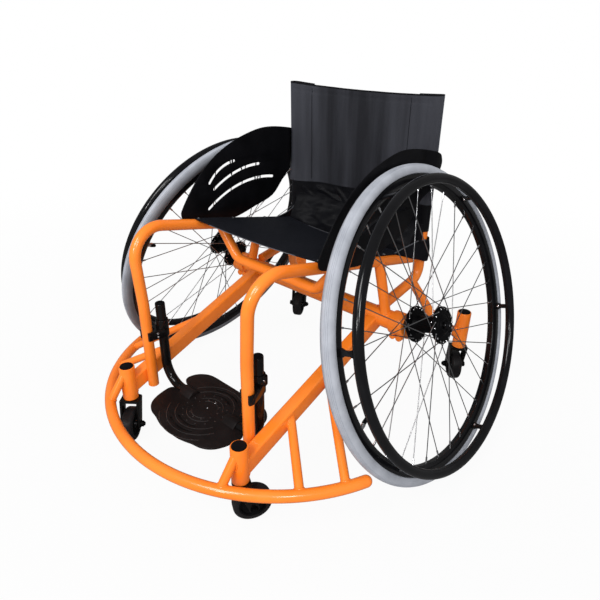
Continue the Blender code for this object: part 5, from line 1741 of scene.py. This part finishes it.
def beam_section(run):
    """Offsets round a main beam that runs along a direction."""
    up = run.cross(Vector((1, 0, 0))).normalized() * BEAM_HEIGHT / 2
    out = Vector((BEAM_WIDTH / 2, 0, 0))
    corners = [out + up, up - out, -out - up, out - up]
    return [a.lerp(b, k / WELD_STEPS_PER_FACE) * SLIM_BEAM
            for a, b in zip(corners, corners[1:] + corners[:1])
            for k in range(WELD_STEPS_PER_FACE)]


def weld_bead(target, start, end, section):
    """A rippled bead where a tube that runs from start to end meets the target surface."""
    run = end - start
    points = [target.ray_cast(start + offset, run.normalized(), run.length * WELD_REACH)[0]
              for offset in section]
    closed = None not in points
    if not closed:
        gap = points.index(None)
        points = [point for point in points[gap:] + points[:gap] if point]
    return cord(points, WELD_BEAD, closed, WELD_RIPPLE)


def weld_beads():
    """The beads at the joints of the frame's left side."""
    hold, bar = front_strut_line()
    tubes = [("bumper_bar", hold, bar, STRUT_RADIUS),
             ("front_castor_housing", bar, hold, STRUT_RADIUS)]
    for strut in BUMPER_STRUTS.values():
        on_bar, on_beam = side_strut_line(*strut)
        middle = on_bar.lerp(on_beam, 0.5)
        tubes += [("bumper_bar", middle, on_bar, STRUT_RADIUS),
                  ("main_beam", middle, on_beam, STRUT_RADIUS)]
    low, high = rail_strut_line()
    flat_end = Vector((CROSS_TUBE_HALF_FLAT, CROSS_TUBE_Y, CROSS_TUBE_Z))
    knee, end = rear_arm_line()[1:]
    tubes += [("camber_tube", low.lerp(high, 0.5), low, RAIL_STRUT_RADIUS),
              ("seat_rail", low.lerp(high, 0.5), high, RAIL_STRUT_RADIUS * SLIM_TUBE),
              ("seat_rail", flat_end, rail(CROSS_TUBE_Y), TUBE_RADIUS * SLIM_TUBE),
              ("back_cane", rail(0.05), rail_end(), TUBE_RADIUS * SLIM_TUBE),
              ("camber_tube", cane_elbow().lerp(cane_foot(0), 0.35), cane_foot(0), TUBE_RADIUS),
              ("rear_castor_housing", knee, end, REAR_ARM_RADIUS)]
    welds = [(*tube[:3], round_section(tube[2] - tube[1], tube[3])) for tube in tubes]
    front_y = HOUSINGS["front"]["centre"][1]
    for target, near_y, far_y in (("front_castor_housing", -0.30, front_y),
                                  ("camber_tube", -0.08, 0.0)):
        near, far = beam(near_y), beam(far_y)
        welds.append((target, near, far, beam_section(far - near)))
    surfaces = {target: solid_surface(target) for target in {weld[0] for weld in welds}}
    beads = [weld_bead(surfaces[target], *rest) for target, *rest in welds]
    return join(beads, "weld_beads")


# Putting the chair together


def build_frame():
    settle_pair(main_beam(), "main_beam", ENAMEL, smooth=50)
    settle(camber_tube(), "camber_tube", ENAMEL, "frame")
    for shape in (seat_rail, back_cane, rail_strut, rear_arm, bumper_front_strut):
        settle_pair(shape(), shape.__name__, ENAMEL)
    for shape in (front_cross_tube, bumper_bar):
        settle(shape(), shape.__name__, ENAMEL, "frame")
    for word, strut in BUMPER_STRUTS.items():
        made = round_bar(*side_strut_line(*strut), STRUT_RADIUS)
        settle_pair(made, "bumper_" + word + "_strut", ENAMEL)
    for end in ENDS:
        settle_pair(castor_housing(end), end + "_castor_housing", ENAMEL)
        settle_pair(housing_cap(end), end + "_housing_cap", CAP_BLACK)
    settle_pair(weld_beads(), "weld_beads", ENAMEL, smooth=80)


def build_footrest():
    settle_pair(footrest_tube(), "footrest_tube", BLACK_ENAMEL, "footrest")
    settle_pair(footrest_plug(), "footrest_plug", CAP_BLACK, "footrest")
    settle_pair(footrest_clamp(), "footrest_clamp", BLACK_ENAMEL)
    settle_pair(clamp_screws(), "clamp_screws", BRIGHT_STEEL)
    settle(footplate(), "footplate", PLATE_BLACK, "footrest")
    settle(plate_ribs(), "footplate_ribs", RIB_BLACK_PAINTED_GLINT, "footrest")
    settle(plate_screws(), "footplate_screws", BRIGHT_STEEL, "footrest")


def build_drive_wheels():
    spokes, nipples = spokes_and_nipples()
    stem, cap = valve()
    knob, button_stem = release_button()
    pieces = (
        (tyre(), "tyre", TYRE_RUBBER, "drive_wheel_{}"),
        (rim(), "rim", RIM_BLACK, "drive_wheel_{}"),
        (hub(), "hub", HUB_BLACK, "drive_wheel_{}"),
        (spokes, "spokes", SPOKE_STEEL, "drive_wheel_{}"),
        (nipples, "nipples", BRIGHT_STEEL, "drive_wheel_{}"),
        (push_rim(), "push_rim", RIM_BLACK, "drive_wheel_{}"),
        (tab_screws(), "tab_screws", BRIGHT_STEEL, "drive_wheel_{}"),
        (stem, "valve_stem", BRIGHT_STEEL, "drive_wheel_{}"),
        (cap, "valve_cap", CAP_BLACK, "drive_wheel_{}"),
        (axle_pin(), "axle_pin", DARK_STEEL, "frame"),
        (knob, "button_knob", CAP_BLACK, "button_{}"),
        (button_stem, "button_stem", BRIGHT_STEEL, "button_{}"),
    )
    for piece, name, surface, body in pieces:
        for word, side in SIDES.items():
            made = twin(piece) if word == "left" else piece
            settle(made, name + "_" + word, surface, body.format(word), wheel_place(side))


def build_castors():
    for end in ENDS:
        for word in SIDES:
            place, axle_place, trail, drop = castor_places(end, word)
            stem = HOUSINGS[end]["height"] - CAP_DEPTH - GAP
            pieces = (
                (castor_fork(trail, drop, stem), "fork", BLACK_ENAMEL, "swivel", place),
                (castor_bolt(), "bolt", HUB_BLACK, "swivel", axle_place),
                (castor_tread(), "tread", CASTOR_RUBBER, "roller", axle_place),
                (castor_core(), "core", CAP_BLACK, "roller", axle_place),
                (castor_spacers(), "spacers", BRIGHT_STEEL, "roller", axle_place),
            )
            for piece, name, surface, body, where in pieces:
                settle(piece, end + "_castor_" + name + "_" + word, surface,
                       end + "_" + body + "_" + word, where)


def build_upholstery():
    settle_pair(side_guard(), "side_guard", GUARD_BLACK)
    settle_pair(seat_screws(), "seat_screws", BRIGHT_STEEL)
    rails = ["seat_rail_left", "seat_rail_right"]
    canes = ["back_cane_left", "back_cane_right"]
    seat = (line_length(seat_line(0, SEAT_SAG)), SEAT_REAR - SEAT_FRONT)
    panel = (BACK_WIDTH, BACK_TOP - BACK_FOLD)
    strip = (BACK_WIDTH, BACK_FOLD + BACK_OVERLAP - BACK_LOW)
    flap = (2 * (LOW_FLAP_HALF + LOW_FLAP_WRAP), LOW_FLAP_TOP - LOW_FLAP_FOOT + 0.02)
    for name, grid, place, flat, thickness, surface, held, rests_on in (
            ("seat_cloth", (110, 70), seat_point, seat, SEAT_CLOTH, SEAT_NYLON,
             "stretched", rails),
            ("back_panel", (170, 60), panel_point, panel, BACK_CLOTH, BACK_NYLON,
             "stretched", canes),
            ("back_strip", (150, 40), strip_point, strip, STRIP_CLOTH, FLAP_NYLON,
             "stretched", canes),
            ("low_flap", (120, 36), flap_point, flap, SLACK_CLOTH, FLAP_NYLON,
             "hung", ["back_strip", "seat_sling"])):
        sheet = cloth(*grid, place, flat, thickness)[0]
        settle(sheet, name, surface, "frame", smooth=60)
    settle_pair(corner_binding(), "corner_binding", BINDING_PAINTED_HIGHLIGHT)
    settle(seat_cords(), "seat_cords", BINDING_PAINTED_HIGHLIGHT, "frame")
    settle(back_cords(), "back_cords", SEAT_NYLON, "frame")
    flat = (line_length(CORNER_FOOT_LINE), CORNER_TOP[5][2] - CORNER_FOOT[5][2])
    corner, area = cloth(72, 18, corner_point, flat, SLACK_CLOTH)
    settle_pair(corner, "seat_corner", SEAT_NYLON, smooth=60)


# Stage, light and camera

CAMERA_PLACE = (0.68702, -0.73441, 0.78383)
CAMERA_TURN = tuple(math.radians(angle) for angle in (63.1167, -1.0159, 41.9104))
CAMERA_LENS = 31.42
LIGHTING = 0.85
ROOM_IN_REFLECTIONS = 0.20
FLOOR_GREY = 0.55
FLOOR_IN_REFLECTIONS = 0.16
# How white the floor looks near the chair and far away, and where that changes
FLOOR_WHITE = (0.94, 1.0)
FLOOR_REACH = (0.6, 2.2)
WHITE = (1, 1, 1, 1)


def white_where(owner, output, plain, white, chance):
    """Links the plain shader to the output, and the white one where chance is 1."""
    mix = node(owner, "MixShader", {0: chance, 1: plain.outputs[0], 2: white.outputs[0]})
    tree = owner.node_tree
    tree.links.new(mix.outputs[0], tree.nodes[output].inputs["Surface"])


def build_world():
    """White to the eye and through glass, softer as a light and dim in reflections."""
    world = bpy.data.worlds.new("studio")
    bpy.context.scene.world = world
    world.use_nodes = True
    path = node(world, "LightPath", {}).outputs
    strength = mapped(world, path["Is Glossy Ray"], LIGHTING, ROOM_IN_REFLECTIONS)
    soft = world.node_tree.nodes["Background"]
    soft.inputs["Color"].default_value = WHITE
    world.node_tree.links.new(strength, soft.inputs["Strength"])
    white = node(world, "Background", {"Color": WHITE, "Strength": 1.0})
    seen = worked_out(world, "MAXIMUM", path["Is Camera Ray"], path["Is Transmission Ray"])
    white_where(world, "World Output", soft, white, seen)


def build_floor():
    """A white floor that keeps a soft shadow near the chair and runs out to plain white."""
    bpy.ops.mesh.primitive_plane_add(size=40, location=(0, 0, -0.0005))
    floor = bpy.context.object
    floor.name = "floor"
    apply_place(floor)
    made = finish("floor_white", (0.55, 0.55, 0.56), 0.9, 0.0, {"Specular IOR Level": 0.1})
    path = node(made, "LightPath", {}).outputs
    feed(made, mapped(made, path["Is Glossy Ray"], FLOOR_GREY, FLOOR_IN_REFLECTIONS),
         "Base Color")
    away = node(made, "VectorMath", {0: places(made)}, operation="LENGTH").outputs["Value"]
    whiter = worked_out(made, "MULTIPLY", mapped(made, away, *FLOOR_WHITE, *FLOOR_REACH),
                        path["Is Camera Ray"])
    glow = node(made, "Emission", {"Color": WHITE, "Strength": 1.0})
    white_where(made, "Material Output", made.node_tree.nodes["Principled BSDF"], glow, whiter)
    floor.data.materials.append(made)


def soft_box(name, place, aimed_height, size, power):
    """A round soft lamp that faces the chair's middle at a height."""
    turn = (Vector((0, 0, aimed_height)) - Vector(place)).to_track_quat("-Z", "Y").to_euler()
    bpy.ops.object.light_add(type="AREA", location=place, rotation=turn)
    lamp = bpy.context.object
    lamp.name = name
    lamp.data.shape = "DISK"
    lamp.data.size = size
    lamp.data.energy = power


def build_studio():
    build_world()
    build_floor()
    soft_box("key", (0.25, -2.4, 2.6), 0.3, 1.3, 46)
    soft_box("fill", (1.95, -1.75, 2.0), 0.3, 0.6, 19)
    soft_box("glint", (0.55, -2.60, 1.45), 0.2, 0.30, 11)
    bpy.ops.object.camera_add(location=CAMERA_PLACE, rotation=CAMERA_TURN)
    camera = bpy.context.object
    camera.data.lens = CAMERA_LENS
    camera.data.sensor_width = 36
    bpy.context.scene.camera = camera
    bpy.context.scene.view_settings.view_transform = "Standard"


deselect()
build_frame()
build_footrest()
build_drive_wheels()
build_castors()
build_upholstery()
build_studio()
